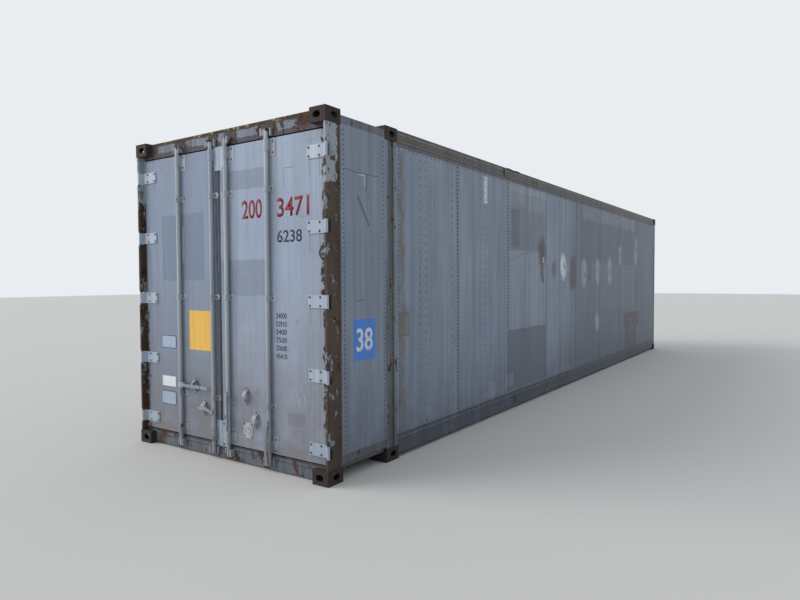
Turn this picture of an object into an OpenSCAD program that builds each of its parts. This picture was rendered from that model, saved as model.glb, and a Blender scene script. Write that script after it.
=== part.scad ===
// Shipping container with aluminium sheet-and-post sides and steel end frames.
// Millimetres. X runs along the container and the doors are at -X.
// Y runs across it, Z is up, and the origin is the middle of the base.
// A length s runs in from the door end and a length u runs across, positive on the -Y side.

/* [Overall size] */
// Outside length over the corner castings
length = 11060; // [10400:10:12200]
// Outside width over the corner castings
width = 2438; // [2400:1:2500]
// Outside height over the corner castings
height = 2896; // [2700:1:2950]

/* [Corner castings] */
// Length of a casting along the container
casting_l = 178; // [170:1:190]
// Width of a casting across the container
casting_w = 162; // [155:1:175]
// Height of a casting
casting_h = 118; // [112:1:130]
// Thickness of the side walls of a casting
casting_wall = 16; // [12:1:20]
// Thickness of the outer top or bottom plate of a casting
casting_plate = 28.5; // [24:0.5:32]
// Length of the top and bottom aperture
aperture_l = 124; // [118:0.5:128]
// Width of the top and bottom aperture
aperture_w = 63.5; // [60:0.5:66]
// Length of the side and end apertures
side_hole_l = 79; // [70:1:82]
// Height of the side and end apertures
side_hole_h = 51; // [46:1:54]
// Aperture centre from the end face of a casting
aperture_from_end = 101.5; // [99:0.5:104]
// Aperture centre from the side face of a casting
aperture_from_side = 89.5; // [87:0.5:91]
// Middle castings from the door end
overhang = 762; // [700:1:900]

/* [Rear frame] */
// Recess of the rear post behind the side of the castings
post_inset = 4; // [3:1:8]
// Recess of the rear post behind the end of the castings
post_back = 62; // [60:1:72]
// Width of the rear post beside the door
post_w = 49; // [40:1:55]
// Width of the lip down the outer edge of the rear post
lip_w = 21; // [18:1:24]
// Recess of that lip behind the end of the castings
lip_front = 6; // [4:1:10]
// Width of the inner step that the door closes on
step_w = 38; // [25:1:50]
// Depth of the rear post along the container
post_d = 108; // [90:1:120]
// Wall of the steel posts
post_t = 6; // [4:1:8]
// Height of the top of the sill above the base
sill_top = 137; // [130:1:160]
// Height of the underside of the sill
sill_bottom = 15; // [10:1:30]
// Wall of the steel beams
beam_t = 6; // [4:1:8]
// Height of the header
header_h = 140; // [130:1:180]
// Recess of the header's top below the top of the castings
header_drop = 6; // [3:1:12]
// How far the header's step behind the doors reaches below its face
header_lap = 20; // [14:1:40]

/* [Middle and front frames] */
// Recess of a middle post behind the side of its castings
mid_inset = 4; // [2:1:10]
// Depth of a middle post across the container
mid_post_d = 76; // [60:1:90]
// Recess of a middle post behind the ends of its castings
mid_in = 12; // [4:1:24]
// Width of the channel down the face of a middle post
channel_w = 66; // [40:1:90]
// Depth of that channel
channel_d = 12; // [6:1:20]
// Height of the beams between the middle castings
mid_beam_h = 90; // [60:1:100]
// Recess of the front frame behind the ends of the front castings
front_in = 20; // [12:1:40]
// Width of the front posts and beams
front_post_w = 90; // [70:1:110]
// Recess of the front sheet behind the face of the front frame
front_sheet_in = 8; // [4:1:20]
// Distance between the posts of the front wall
front_pitch = 380; // [300:5:400]

/* [Doors] */
// Recess of the door's outer face behind the end of the castings
door_face = 56; // [55:1:58]
// Thickness of a door
door_t = 48; // [40:1:52]
// Gap round a door
door_gap = 12; // [10:1:14]
// Where the two doors meet, as a distance to the left of the container's middle
joint_left = 70; // [0:1:90]
// Gap between the two doors
centre_gap = 32; // [30:1:40]
// Width of the frame section round a door
door_rim = 62; // [40:1:90]
// Width of the seam between a door's frame section and its panel
seam_w = 8; // [4:1:12]
// Depth of that seam
seam_d = 4; // [2:1:8]
// Width of the rubber lip round a door
gasket_lip = 6; // [4:1:6]
// Width of the rubber lip where the two doors meet
centre_lip = 12; // [6:1:12]
// Depth of the rubber lip
gasket_t = 18; // [12:1:24]
// Hinges on each door
hinge_count = 5; // [3:1:5]
// Lowest hinge's middle above the bottom of the door
hinge_from_low = 111; // [90:1:200]
// Highest hinge's middle below the top of the door
hinge_from_high = 165; // [90:1:200]

/* [Hinges] */
// Radius of a hinge pin
pin_r = 7; // [6:0.5:8]
// Clearance round a pin
pin_fit = 0.1; // [0.05:0.05:0.3]
// Radius of the knuckle of a hinge blade
knuckle_r = 13; // [11:0.5:13]
// Hinge pin's middle from the side of the container
pin_from_side = 14; // [13:0.5:16]
// Hinge pin's middle from the end of the container
pin_from_end = 20; // [18:0.5:22]
// Height of a hinge blade
blade_h = 103; // [80:1:130]
// Length of a hinge blade from its pin
blade_l = 219; // [150:1:240]
// Thickness of a hinge blade
blade_t = 9; // [6:0.5:10]
// Thickness of a hinge lug
lug_t = 14; // [10:1:20]
// How much narrower a lug is than the knuckle, on each side
lug_less = 1; // [0.5:0.5:2]
// Gap between a lug and the knuckle
lug_gap = 2; // [1:0.5:4]

/* [Lock bars] */
// Radius of a lock bar
bar_r = 18; // [15:0.5:18]
// Lock bar's middle from the end of the container
bar_from_end = 33; // [33:0.5:34]
// Left inner bar's middle from the free edge of its door
left_bar_in = 64; // [60:1:110]
// Right inner bar's middle from the free edge of its door
right_bar_in = 99; // [80:1:120]
// Height of the lower end of a lock bar
bar_low = 50; // [40:1:60]
// Distance of a lock bar's upper end below the top of the castings
bar_drop = 80; // [70:1:85]
// Reach of a cam from the bar's middle
cam_reach = 36; // [34:0.5:38]
// Angle that a cam spreads towards the outside
cam_out = 42; // [30:1:50]
// Angle that a cam spreads towards the door
cam_in = 14; // [5:1:20]
// Height of a cam
cam_h = 52; // [40:1:52]
// Clearance round a cam in its keeper
cam_fit = 2; // [1.5:0.5:3]
// Height of a keeper
keeper_h = 62; // [60:1:64]
// Thickness of a keeper's horns
keeper_t = 12; // [8:1:14]
// Front of a keeper from the end of the container
keeper_front = 11; // [11:0.5:14]
// Height of the collar that carries a handle
collar_h = 44; // [30:1:50]
// Thickness of that collar
collar_t = 3; // [2:0.5:4]

/* [Brackets] */
// Clearance between a bar and its brackets
bracket_fit = 1; // [0.5:0.1:1]
// Thickness of a bracket's strap and foot
strap_t = 3; // [3:0.5:4]
// Height of a guide bracket
guide_h = 54; // [40:1:60]
// End of a guide bracket's foot from the bar's middle
guide_foot = 76; // [60:1:80]
// Lowest guide bracket above the bottom of the door
guide_from_low = 391; // [350:1:440]
// Highest guide bracket below the top of the door
guide_from_high = 408; // [350:1:440]
// Height of the strap of an end bracket
end_strap_h = 100; // [80:1:110]
// Height of the foot of an end bracket
end_foot_h = 140; // [120:1:160]
// End of an end bracket's foot from the bar's middle
end_foot = 86; // [70:1:90]
// End brackets from the top and bottom of a door
end_from_edge = 4; // [2:1:10]

/* [Plates where the doors meet] */
// Thickness of the plates
plate_t = 4; // [3:0.5:4]
// Left edge of the left plates from the free edge of their door
plate_left = 120; // [110:1:140]
// How far a left plate covers the gap between the doors
plate_over = 26; // [20:1:26]
// End of a plate from the free end of the doors, inward
plate_h = 195; // [170:1:220]
// Clearance between a plate and a keeper
plate_fit = 5; // [5:0.5:8]
// Height of the slot in a left plate
slot_h = 112; // [90:1:130]
// Width of that slot
slot_w = 12; // [8:1:16]
// Middle of that slot from the free edge of the door
slot_in = 34; // [30:1:38]

/* [Handles] */
// Width of a handle
handle_w = 28; // [20:1:30]
// Thickness of a handle
handle_t = 5; // [4:0.5:5]
// Front of a handle from the end of the container
handle_front = 1; // [0.5:0.5:1]
// Radius of a handle's eye
eye_r = 18; // [15:0.5:18]
// Radius of a handle's pivot pin
pivot_r = 6; // [5:0.5:7]
// Length of the outer left handle from its pivot
lo_handle_l = 363; // [320:1:370]
// Length of what is left of the inner left handle
li_handle_l = 190; // [170:1:195]
// Length of the inner right handle
ri_handle_l = 330; // [300:1:335]
// Length of the outer right handle
ro_handle_l = 345; // [300:1:350]
// Pivot of the outer left handle from its bar's middle
lo_pivot = 60; // [50:1:70]
// Height of the outer left handle's pivot
lo_handle_z = 620; // [600:1:640]
// Height of the inner left handle's pivot
li_handle_z = 413; // [400:1:430]
// Height of the inner right handle's pivot
ri_handle_z = 595; // [590:1:640]
// Height of the outer right handle's pivot
ro_handle_z = 400; // [398:1:430]
// How far the inner left handle is cranked upward
li_crank = 22; // [10:1:24]
// Bow of the outer right handle
ro_bow = 22; // [10:1:26]

/* [Hasps] */
// Height of a hasp
hasp_h = 150; // [140:1:160]
// Width of a hasp
hasp_w = 46; // [36:1:50]
// Thickness of a hasp's strap
hasp_t = 4; // [3:0.5:5]
// Front of a hasp's bow from the end of the container
hasp_front = 16; // [15:0.5:20]
// Height of a hasp's foot
hasp_foot = 20; // [16:1:26]
// Thickness of a hasp's catch
catch_t = 6; // [5:0.5:8]
// Width of a hasp's catch
catch_w = 16; // [12:1:20]
// Length that a loose catch hangs below its knuckle
catch_hang = 26; // [20:1:32]
// Gap between a handle and the catch that it rests on
seat_gap = 0.3; // [0.2:0.1:0.5]
// Outer left hasp from its bar
lo_hasp = 195; // [180:1:210]
// Inner left hasp from its bar
li_hasp = 146; // [140:1:150]
// Inner right hasp from its bar
ri_hasp = 213; // [200:1:225]
// Outer right hasp from its bar
ro_hasp = 175; // [165:1:190]

/* [Sides] */
// Recess of the side sheets behind the side of the castings
skin_inset = 6; // [4:0.5:10]
// Thickness of a side sheet
skin_t = 2; // [1.5:0.5:4]
// First wall post's middle from the door end
first_post = 1360; // [1300:1:1420]
// Distance between wall posts
wall_pitch = 613.5; // [560:0.5:640]
// Gap between two side sheets
sheet_gap = 3; // [2:0.5:6]
// Depth of a wall post
wall_post_d = 32; // [20:1:50]
// Width of a wall post over its flanges
wall_post_w = 140; // [120:1:160]
// Width of a wall post's web
wall_web = 76; // [50:1:84]
// Thickness of a wall post
wall_post_t = 3; // [2:0.5:5]
// Distance of the rivet lines from a wall post's middle
rivet_line = 55; // [50:1:62]
// Top of the top rail below the top of the castings
top_rail_drop = 6; // [4:1:12]
// Height of the top rail
top_rail_h = 144; // [120:1:160]
// Height of the top of the bottom rail above the base
bottom_rail_top = 216; // [180:1:230]
// Height of the underside of the bottom rail
bottom_rail_low = 36; // [20:1:50]
// Depth of the rails across the container
rail_d = 60; // [50:1:70]
// Wall of the aluminium rails
rail_t = 6; // [4:0.5:8]
// Depth of the grooves in the rails
groove_d = 3; // [1:0.5:4]
// Height of the grooves in the rails
groove_h = 12; // [6:1:16]
// Top of the overhang's top rail below the top of the castings
over_rail_drop = 40; // [30:1:50]
// Height of the overhang's top rail
over_rail_h = 66; // [50:1:76]
// Top of the overhang's bottom rail above the base
over_low_top = 206; // [190:1:216]
// Height of the face of the overhang's bottom rail
over_low_face = 70; // [50:1:80]
// Height of the recessed part below that face
over_low_skirt = 40; // [20:1:50]
// Recess of that part
over_low_in = 24; // [10:1:30]
// Wall of the overhang's rails
over_rail_t = 4; // [3:0.5:5]

/* [Roof and floor] */
// Recess of the roof sheet below the top of the castings
roof_drop = 8; // [7:1:12]
// Thickness of the roof sheet
roof_t = 2; // [1.5:0.5:3]
// Height of a roof bow
bow_h = 32; // [20:1:40]
// Width of a roof bow
bow_w = 60; // [40:1:80]
// Thickness of the floor boards
floor_t = 28; // [20:1:32]
// Distance between cross members
cross_pitch = 307; // [280:1:400]
// Flange width of a cross member
cross_w = 45; // [35:1:60]
// Thickness of a cross member
cross_t = 4; // [3:0.5:6]
// Nearest cross member from the castings of a frame
cross_from = 100; // [60:1:160]

/* [Hidden] */
$fn = 48;

steel = "#7b6a60";
paint = "#8d9199";
aluminium = "#9aa0a8";
rubber = "#2a2a2c";
wood = "#8a6a48";
galvanised = "#a3a6aa";

half_l = length / 2;
half_w = width / 2;
// An overlap that keeps a cut from ending on a face.
cut = 1;

post_out = half_w - post_inset;
post_in = post_out - post_w;
step_in = post_in - step_w;
step_s = door_face + door_t + gasket_lip;
rear_end = post_back + post_d;
header_top = height - header_drop;
header_low = header_top - header_h;
door_low = sill_top + door_gap;
door_high = header_low - door_gap;
door_h = door_high - door_low;
door_edge = post_in - door_gap;
right_edge = centre_gap / 2 - joint_left;
left_edge = centre_gap / 2 + joint_left;
hinge_low = door_low + hinge_from_low;
hinge_high = door_high - hinge_from_high;
hinge_step = (hinge_high - hinge_low) / (hinge_count - 1);
pin_u = half_w - pin_from_side;
hinge_room = blade_h + 2 * (lug_gap + lug_t);

ro_bar = (right_edge + door_edge) / 2;
ri_bar = right_edge + right_bar_in;
li_bar = -left_edge - left_bar_in;
lo_bar = -(left_edge + door_edge) / 2;
bar_high = height - bar_drop;
keeper_low_z = bar_low;
keeper_high_z = bar_high - keeper_h;
strap_r = bar_r + bracket_fit + strap_t;
face_from_bar = door_face - bar_from_end;

skin_in = half_w - skin_inset - skin_t;
side_start = overhang + casting_l;
side_end = length - casting_l;
top_rail_top = height - top_rail_drop;
top_rail_low = top_rail_top - top_rail_h;
over_top = height - over_rail_drop;
rail_in = half_w - skin_inset - rail_d;
floor_top = sill_top;
floor_low = floor_top - floor_t;
roof_top = height - roof_drop;
mid_start = overhang + mid_in;
mid_end = side_start - mid_in;
mid_post_in = half_w - mid_inset - mid_post_d;
front_face = length - front_in;
front_back = front_face - front_post_w;
front_post_in = half_w - post_inset - front_post_w;
front_header_low = height - casting_h;
casting_in = half_w - casting_w;

// Places its children at a distance s from the door end, u across and height z.
module at_rear(s, u, z) {
    translate([s - half_l, -u, z])
        children();
}

// Draws its children on both sides of the container.
module both_sides() {
    children();
    mirror([0, 1, 0])
        children();
}

// Stands a plan outline drawn in (u, s) up from z to z + h.
module stand(z, h) {
    translate([-half_l, 0, z])
        rotate([0, 0, -90])
            linear_extrude(height = h)
                children();
}

// Runs a side profile drawn in (s, z) across the container.
module across(u_from, u_to) {
    translate([-half_l, -u_from, 0])
        rotate([90, 0, 0])
            linear_extrude(height = u_to - u_from)
                children();
}

// Runs a section drawn in (inward from the side, z) along the -Y side.
module along(s_from, s_to) {
    translate([s_from - half_l, -half_w, 0])
        rotate([90, 0, 90])
            linear_extrude(height = s_to - s_from)
                children();
}

// Hollow rectangle from the corner x, y, with walls t.
module tube_section(x, y, w, h, t) {
    difference() {
        translate([x, y])
            square([w, h]);
        translate([x + t, y + t])
            square([w - 2 * t, h - 2 * t]);
    }
}

// A bar with round ends along X, standing on Z.
module slot(l, w, h) {
    r = w / 2;
    for (x = [-(l / 2 - r), l / 2 - r])
        translate([x, 0, 0])
            cylinder(h = h, r = r);
    translate([-(l / 2 - r), -r, 0])
        cube([l - w, w, h]);
}

// One hollow casting whose outer corner is the origin, reaching to +X, +Y and +Z.
module casting(end_hole) {
    difference() {
        cube([casting_l, casting_w, casting_h]);
        translate([casting_wall, casting_wall, casting_plate])
            cube([casting_l - 2 * casting_wall, casting_w - 2 * casting_wall,
                casting_h - casting_plate - casting_wall]);
        translate([aperture_from_end, aperture_from_side, -cut])
            slot(aperture_l, aperture_w, casting_plate + 2 * cut);
        translate([aperture_from_end, -cut, casting_h / 2])
            rotate([-90, 0, 0])
                slot(side_hole_l, side_hole_h, casting_wall + 2 * cut);
        if (end_hole)
            translate([-cut, aperture_from_side, casting_h / 2])
                rotate([90, 0, 90])
                    slot(side_hole_l, side_hole_h, casting_wall + 2 * cut);
    }
}

// Four castings of one frame, whose outer end faces lie at x.
module casting_set(x, direction, end_hole) {
    for (top = [0, 1])
        both_sides()
            translate([x, -half_w, top * height])
                mirror([0, 0, top])
                    mirror([direction < 0 ? 1 : 0, 0, 0])
                        casting(end_hole);
}

// The room that the castings take up at the corners and over the middle posts.
module casting_room() {
    for (s = [0, overhang, length - casting_l])
        for (z = [0, height - casting_h])
            both_sides()
                translate([s - half_l, -half_w, z])
                    cube([casting_l, casting_w, casting_h]);
}

module rear_corner_castings() {
    color(steel)
        casting_set(-half_l, 1, true);
}

module mid_castings() {
    color(steel)
        casting_set(overhang - half_l, 1, false);
}

module front_corner_castings() {
    color(steel)
        casting_set(half_l, -1, true);
}

// Plan outline of the rear post, drawn smaller by inset on every side.
module rear_post_outline(inset) {
    polygon([
        [post_in + inset, post_back + inset], [post_out - inset, post_back + inset],
        [post_out - inset, rear_end - inset], [step_in + inset, rear_end - inset],
        [step_in + inset, step_s + inset], [post_in + inset, step_s + inset]
    ]);
}

// The lip down the outer edge of the rear post, open where the hinges sit.
module post_lip() {
    depth = post_back - lip_front;
    difference() {
        at_rear(lip_front, post_out, casting_h)
            cube([depth + post_t, lip_w, height - 2 * casting_h]);
        for (i = [0 : hinge_count - 1])
            at_rear(lip_front - cut, post_out + cut, hinge_low + i * hinge_step - hinge_room / 2)
                cube([depth + cut, lip_w + 2 * cut, hinge_room]);
    }
}

module rear_posts() {
    color(steel)
        both_sides() {
            stand(casting_h, height - 2 * casting_h)
                difference() {
                    rear_post_outline(0);
                    rear_post_outline(post_t);
                }
            post_lip();
        }
}

// The room that the rear posts take up, over the whole height.
module rear_post_room() {
    both_sides()
        stand(0, height)
            rear_post_outline(0);
}

// Two lugs and the pin between them, at height z.
module hinge_lug_pair(z) {
    lug_low = z - blade_h / 2 - lug_gap - lug_t;
    lug_high = z + blade_h / 2 + lug_gap;
    lug_r = knuckle_r - lug_less;
    for (low = [lug_low, lug_high])
        stand(low, lug_t)
            union() {
                translate([pin_u, pin_from_end])
                    circle(r = lug_r);
                translate([pin_u - lug_r, pin_from_end])
                    square([2 * lug_r, post_back - pin_from_end]);
            }
    at_rear(pin_from_end, pin_u, lug_low)
        cylinder(h = lug_high - lug_low + lug_t, r = pin_r);
}

module hinge_lugs() {
    color(steel)
        both_sides()
            for (i = [0 : hinge_count - 1])
                hinge_lug_pair(hinge_low + i * hinge_step);
}

// Side profile of the header, drawn smaller by inset on every side.
module header_outline(inset) {
    foot = header_low - header_lap;
    polygon([
        [door_face + inset, header_low + inset], [step_s + inset, header_low + inset],
        [step_s + inset, foot + inset], [casting_l - inset, foot + inset],
        [casting_l - inset, header_top - inset], [door_face + inset, header_top - inset]
    ]);
}

module door_header() {
    color(steel)
        difference() {
            across(-post_in, post_in)
                difference() {
                    header_outline(0);
                    header_outline(beam_t);
                }
            casting_room();
            rear_post_room();
        }
}

module door_sill() {
    color(steel)
        difference() {
            across(-post_in, post_in)
                tube_section(door_face, sill_bottom, rear_end - door_face, sill_top - sill_bottom, beam_t);
            casting_room();
            rear_post_room();
        }
}

// Plan outline of a keeper about the bar's middle; its mouth opens to the outside at -y.
module keeper_outline() {
    room = cam_reach + cam_fit;
    front = keeper_front - bar_from_end;
    difference() {
        translate([-front, front])
            square([room + keeper_t + front, face_from_bar - front]);
        circle(r = room);
        translate([-room, 0])
            square([2 * room, face_from_bar + cut]);
    }
    translate([-room - keeper_t, 0])
        square([keeper_t, face_from_bar]);
}

// Puts its children round the bar at u; +x points to +u if toward is 1, else to -u.
module at_bar(u, toward, z) {
    at_rear(bar_from_end, u, z)
        rotate([0, 0, -90])
            mirror([toward < 0 ? 1 : 0, 0, 0])
                children();
}

module cam_keepers() {
    color(paint)
        for (z = [keeper_low_z, keeper_high_z])
            for (bar = [[lo_bar, 1], [li_bar, -1], [ri_bar, 1], [ro_bar, -1]])
                at_bar(bar[0], bar[1], z)
                    linear_extrude(height = keeper_h)
                        keeper_outline();
}

// Plan outline of a middle post with a channel down its outer face, smaller by inset.
module mid_post_outline(inset) {
    out = half_w - mid_inset;
    middle = overhang + casting_l / 2;
    difference() {
        translate([out - mid_post_d + inset, mid_start + inset])
            square([mid_post_d - 2 * inset, mid_end - mid_start - 2 * inset]);
        translate([out - channel_d - inset, middle - channel_w / 2 - inset])
            square([channel_d + inset + cut, channel_w + 2 * inset]);
    }
}

module mid_posts() {
    color(steel)
        both_sides()
            stand(casting_h, height - 2 * casting_h)
                difference() {
                    mid_post_outline(0);
                    mid_post_outline(post_t);
                }
}

module mid_crossbeams() {
    low = floor_low - mid_beam_h;
    color(steel)
        across(-casting_in, casting_in) {
            tube_section(overhang, low, casting_l, mid_beam_h, beam_t);
            tube_section(overhang, roof_top - mid_beam_h, casting_l, mid_beam_h, beam_t);
        }
}

// Section of the overhang's bottom rail, drawn smaller by inset on every side.
module over_low_outline(inset) {
    out = skin_inset;
    face_low = over_low_top - over_low_face;
    polygon([
        [out + inset, over_low_top - inset], [out + rail_d - inset, over_low_top - inset],
        [out + rail_d - inset, face_low - over_low_skirt + inset],
        [out + over_low_in + inset, face_low - over_low_skirt + inset],
        [out + over_low_in + inset, face_low + inset], [out + inset, face_low + inset]
    ]);
}

module overhang_rails() {
    color(steel)
        difference() {
            both_sides() {
                along(rear_end, mid_start)
                    tube_section(skin_inset, over_top - over_rail_h, rail_d, over_rail_h, over_rail_t);
                along(rear_end, mid_start)
                    difference() {
                        over_low_outline(0);
                        over_low_outline(over_rail_t);
                    }
            }
            casting_room();
        }
}

// Section of an extruded rail, open to the inside, with grooves at the given heights.
module rail_section(z, h, grooves) {
    difference() {
        translate([skin_inset, z])
            square([rail_d, h]);
        translate([skin_inset + rail_t, z + rail_t])
            square([rail_d, h - 2 * rail_t]);
        for (g = grooves)
            translate([skin_inset - cut, z + g * h - groove_h / 2])
                square([groove_d + cut, groove_h]);
    }
}

// Heights of the grooves as shares of a rail's height.
top_grooves = [0.25, 0.54, 0.86];
bottom_grooves = [0.66, 0.9];

module top_rails() {
    color(aluminium)
        difference() {
            both_sides()
                along(mid_end, front_back)
                    rail_section(top_rail_low, top_rail_h, top_grooves);
            casting_room();
        }
}

module bottom_rails() {
    color(aluminium)
        difference() {
            both_sides()
                along(mid_end, front_back)
                    rail_section(bottom_rail_low, bottom_rail_top - bottom_rail_low, bottom_grooves);
            casting_room();
        }
}

// Side sheet from s_from to s_to and from the height low to high.
module sheet(s_from, s_to, low, high) {
    along(s_from, s_to)
        translate([skin_inset, low])
            square([skin_t, high - low]);
}

// The sheets meet at the second rivet line of every other wall post.
first_joint = first_post + wall_pitch + rivet_line;
sheet_pitch = 2 * wall_pitch;
joints = [for (s = first_joint; s < side_end - sheet_pitch / 2; s = s + sheet_pitch) s];

module side_skin() {
    last = len(joints);
    edges = concat([mid_end], joints, [front_back]);
    difference() {
        sheet(rear_end, mid_start, over_low_top, over_top - over_rail_h);
        casting_room();
    }
    for (i = [0 : last])
        sheet(edges[i] + (i == 0 ? 0 : sheet_gap / 2), edges[i + 1] - (i == last ? 0 : sheet_gap / 2),
            bottom_rail_top, top_rail_low);
}

module side_skin_right() {
    color(aluminium)
        side_skin();
}

module side_skin_left() {
    color(aluminium)
        mirror([0, 1, 0])
            side_skin();
}

// Hat section with its flanges on y = 0 and its web at -wall_post_d, along x.
module hat_outline() {
    flange = wall_post_w / 2;
    web = wall_web / 2;
    t = wall_post_t;
    d = wall_post_d;
    polygon([
        [-flange, 0], [-web + t, 0], [-web + t, t - d], [web - t, t - d], [web - t, 0], [flange, 0],
        [flange, -t], [web, -t], [web, -d], [-web, -d], [-web, -t], [-flange, -t]
    ]);
}

module wall_posts() {
    color(aluminium)
        both_sides()
            for (s = [first_post : wall_pitch : side_end - wall_post_w])
                stand(bottom_rail_top, top_rail_low - bottom_rail_top)
                    translate([skin_in, s])
                        rotate(-90)
                            hat_outline();
}

module front_posts() {
    color(steel)
        both_sides()
            stand(casting_h, height - 2 * casting_h)
                tube_section(front_post_in, front_back, front_post_w, front_post_w, post_t);
}

module front_header() {
    color(steel)
        across(-casting_in, casting_in)
            tube_section(front_back, front_header_low, front_post_w, header_top - front_header_low, beam_t);
}

module front_sill() {
    color(steel)
        difference() {
            across(-front_post_in, front_post_in)
                tube_section(front_back, sill_bottom, front_post_w, bottom_rail_top - sill_bottom, beam_t);
            casting_room();
        }
}

module front_skin() {
    color(aluminium)
        across(-front_post_in, front_post_in)
            translate([front_face - front_sheet_in - skin_t, bottom_rail_top])
                square([skin_t, front_header_low - bottom_rail_top]);
}

module front_wall_posts() {
    color(aluminium)
        for (k = [-2 : 2])
            stand(bottom_rail_top, front_header_low - bottom_rail_top)
                translate([k * front_pitch, front_face - front_sheet_in - skin_t])
                    hat_outline();
}

// A slab between the side rails, from s_from to s_to and z to z + t.
module inside_slab(s_from, s_to, z, t) {
    difference() {
        translate([s_from - half_l, -rail_in, z])
            cube([s_to - s_from, 2 * rail_in, t]);
        casting_room();
    }
}

module roof_skin() {
    color(aluminium) {
        inside_slab(casting_l, overhang, over_top - roof_t, roof_t);
        inside_slab(side_start, side_end, roof_top - roof_t, roof_t);
        inside_slab(side_end + sheet_gap, front_back, roof_top - roof_t, roof_t);
    }
}

module roof_bows() {
    middle = (rear_end + mid_start) / 2;
    color(aluminium) {
        inside_slab(middle - bow_w / 2, middle + bow_w / 2, over_top - roof_t - bow_h, bow_h);
        for (s = [first_post : wall_pitch : side_end - bow_w])
            inside_slab(s - bow_w / 2, s + bow_w / 2, roof_top - roof_t - bow_h, bow_h);
    }
}

// The room that the posts and the front frame take up beside the floor.
module post_room() {
    both_sides() {
        at_rear(mid_start, half_w, 0)
            cube([mid_end - mid_start, half_w - mid_post_in, height]);
        at_rear(front_back, half_w, 0)
            cube([front_post_w, half_w - front_post_in, height]);
    }
}

module floor() {
    color(wood)
        difference() {
            inside_slab(rear_end, front_back, floor_low, floor_t);
            post_room();
        }
}

// A channel across the container whose web is at s.
module cross_member(s) {
    h = floor_low - bottom_rail_low;
    across(-rail_in, rail_in)
        difference() {
            translate([s, bottom_rail_low])
                square([cross_w, h]);
            translate([s + cross_t, bottom_rail_low + cross_t])
                square([cross_w, h - 2 * cross_t]);
        }
}

module cross_members() {
    color(steel)
        for (s = [side_start + cross_from : cross_pitch : side_end - cross_from])
            cross_member(s);
}

// A door leaf on the -Y side whose free edge is at u = inner, with a seam round its panel.
module door_leaf(inner) {
    w = door_edge - inner;
    inside = door_rim + seam_w;
    at_rear(door_face, door_edge, door_low)
        difference() {
            cube([door_t, w, door_h]);
            translate([-cut, 0, 0])
                difference() {
                    translate([0, door_rim, door_rim])
                        cube([seam_d + cut, w - 2 * door_rim, door_h - 2 * door_rim]);
                    translate([-cut, inside, inside])
                        cube([seam_d + 3 * cut, w - 2 * inside, door_h - 2 * inside]);
                }
        }
}

module right_door_panel() {
    color(paint)
        door_leaf(right_edge);
}

module left_door_panel() {
    color(paint)
        mirror([0, 1, 0])
            door_leaf(left_edge);
}

// Rubber lip round a door, in the gap between the door and its frame.
module door_gasket(inner) {
    w = door_edge - inner;
    at_rear(door_face + door_t - gasket_t, door_edge + gasket_lip, door_low - gasket_lip)
        difference() {
            cube([gasket_t, gasket_lip + w + centre_lip, door_h + 2 * gasket_lip]);
            translate([-cut, gasket_lip, gasket_lip])
                cube([gasket_t + 2 * cut, w, door_h]);
        }
}

module right_door_gasket() {
    color(rubber)
        door_gasket(right_edge);
}

module left_door_gasket() {
    color(rubber)
        mirror([0, 1, 0])
            door_gasket(left_edge);
}

// Plan outline of a hinge blade about its pin, cranked back to the door's face.
module blade_outline() {
    face = door_face - pin_from_end;
    bend = 2 * knuckle_r;
    difference() {
        union() {
            circle(r = knuckle_r);
            polygon([
                [0, knuckle_r], [4 - bend, face], [-blade_l, face], [-blade_l, face - blade_t],
                [-bend, face - blade_t], [lug_less - knuckle_r, 0]
            ]);
        }
        circle(r = pin_r + pin_fit);
    }
}

module hinge_blades() {
    for (i = [0 : hinge_count - 1])
        stand(hinge_low + i * hinge_step - blade_h / 2, blade_h)
            translate([pin_u, pin_from_end])
                blade_outline();
}

module right_hinge_blades() {
    color(paint)
        hinge_blades();
}

module left_hinge_blades() {
    color(paint)
        mirror([0, 1, 0])
            hinge_blades();
}

// Plan outline of a strap over a bar, from its back at y = back to its front.
module strap_outline(back) {
    r = strap_r - strap_t;
    difference() {
        union() {
            circle(r = strap_r);
            translate([-strap_r, 0])
                square([2 * strap_r, back]);
        }
        circle(r = r);
        translate([-r, 0])
            square([2 * r, back + strap_r]);
    }
}

// Puts a plan outline about the bar at u, from z to z + h.
module round_bar(u, z, h) {
    stand(z, h)
        translate([u, bar_from_end])
            children();
}

// A guide bracket: a strap and a round-ended foot, with its middle at z.
module guide_bracket(u, z) {
    r = guide_h / 2;
    round_bar(u, z - r, guide_h)
        strap_outline(face_from_bar);
    across(u + strap_r - strap_t, u + guide_foot - r)
        translate([door_face - strap_t, z - r])
            square([strap_t, guide_h]);
    at_rear(door_face - strap_t, u + guide_foot - r, z)
        rotate([0, 90, 0])
            cylinder(h = strap_t, r = r);
}

// An end bracket: a strap from z over the height h, and a foot of its own height.
module end_bracket(u, strap_z, foot_z) {
    round_bar(u, strap_z, end_strap_h)
        strap_outline(face_from_bar);
    round_bar(u, foot_z, end_foot_h)
        translate([strap_r - strap_t, face_from_bar - strap_t])
            square([end_foot - strap_r + strap_t, strap_t]);
}

guides = [door_low + guide_from_low, (door_low + guide_from_low + door_high - guide_from_high) / 2,
    door_high - guide_from_high];
end_low = door_low + end_from_edge;
end_high = door_high - end_from_edge;

module end_brackets(u) {
    end_bracket(u, end_low, end_low);
    end_bracket(u, end_high - end_strap_h, end_high - end_foot_h);
}

module right_bar_brackets() {
    color(paint)
        for (u = [ri_bar, ro_bar]) {
            end_brackets(u);
            for (z = guides)
                guide_bracket(u, z);
        }
}

module left_bar_brackets() {
    color(paint) {
        end_brackets(lo_bar);
        for (z = [end_low, end_high - end_strap_h])
            round_bar(li_bar, z, end_strap_h)
                strap_outline(face_from_bar - plate_t);
        for (u = [lo_bar, li_bar])
            for (z = guides)
                guide_bracket(u, z);
    }
}

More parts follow.
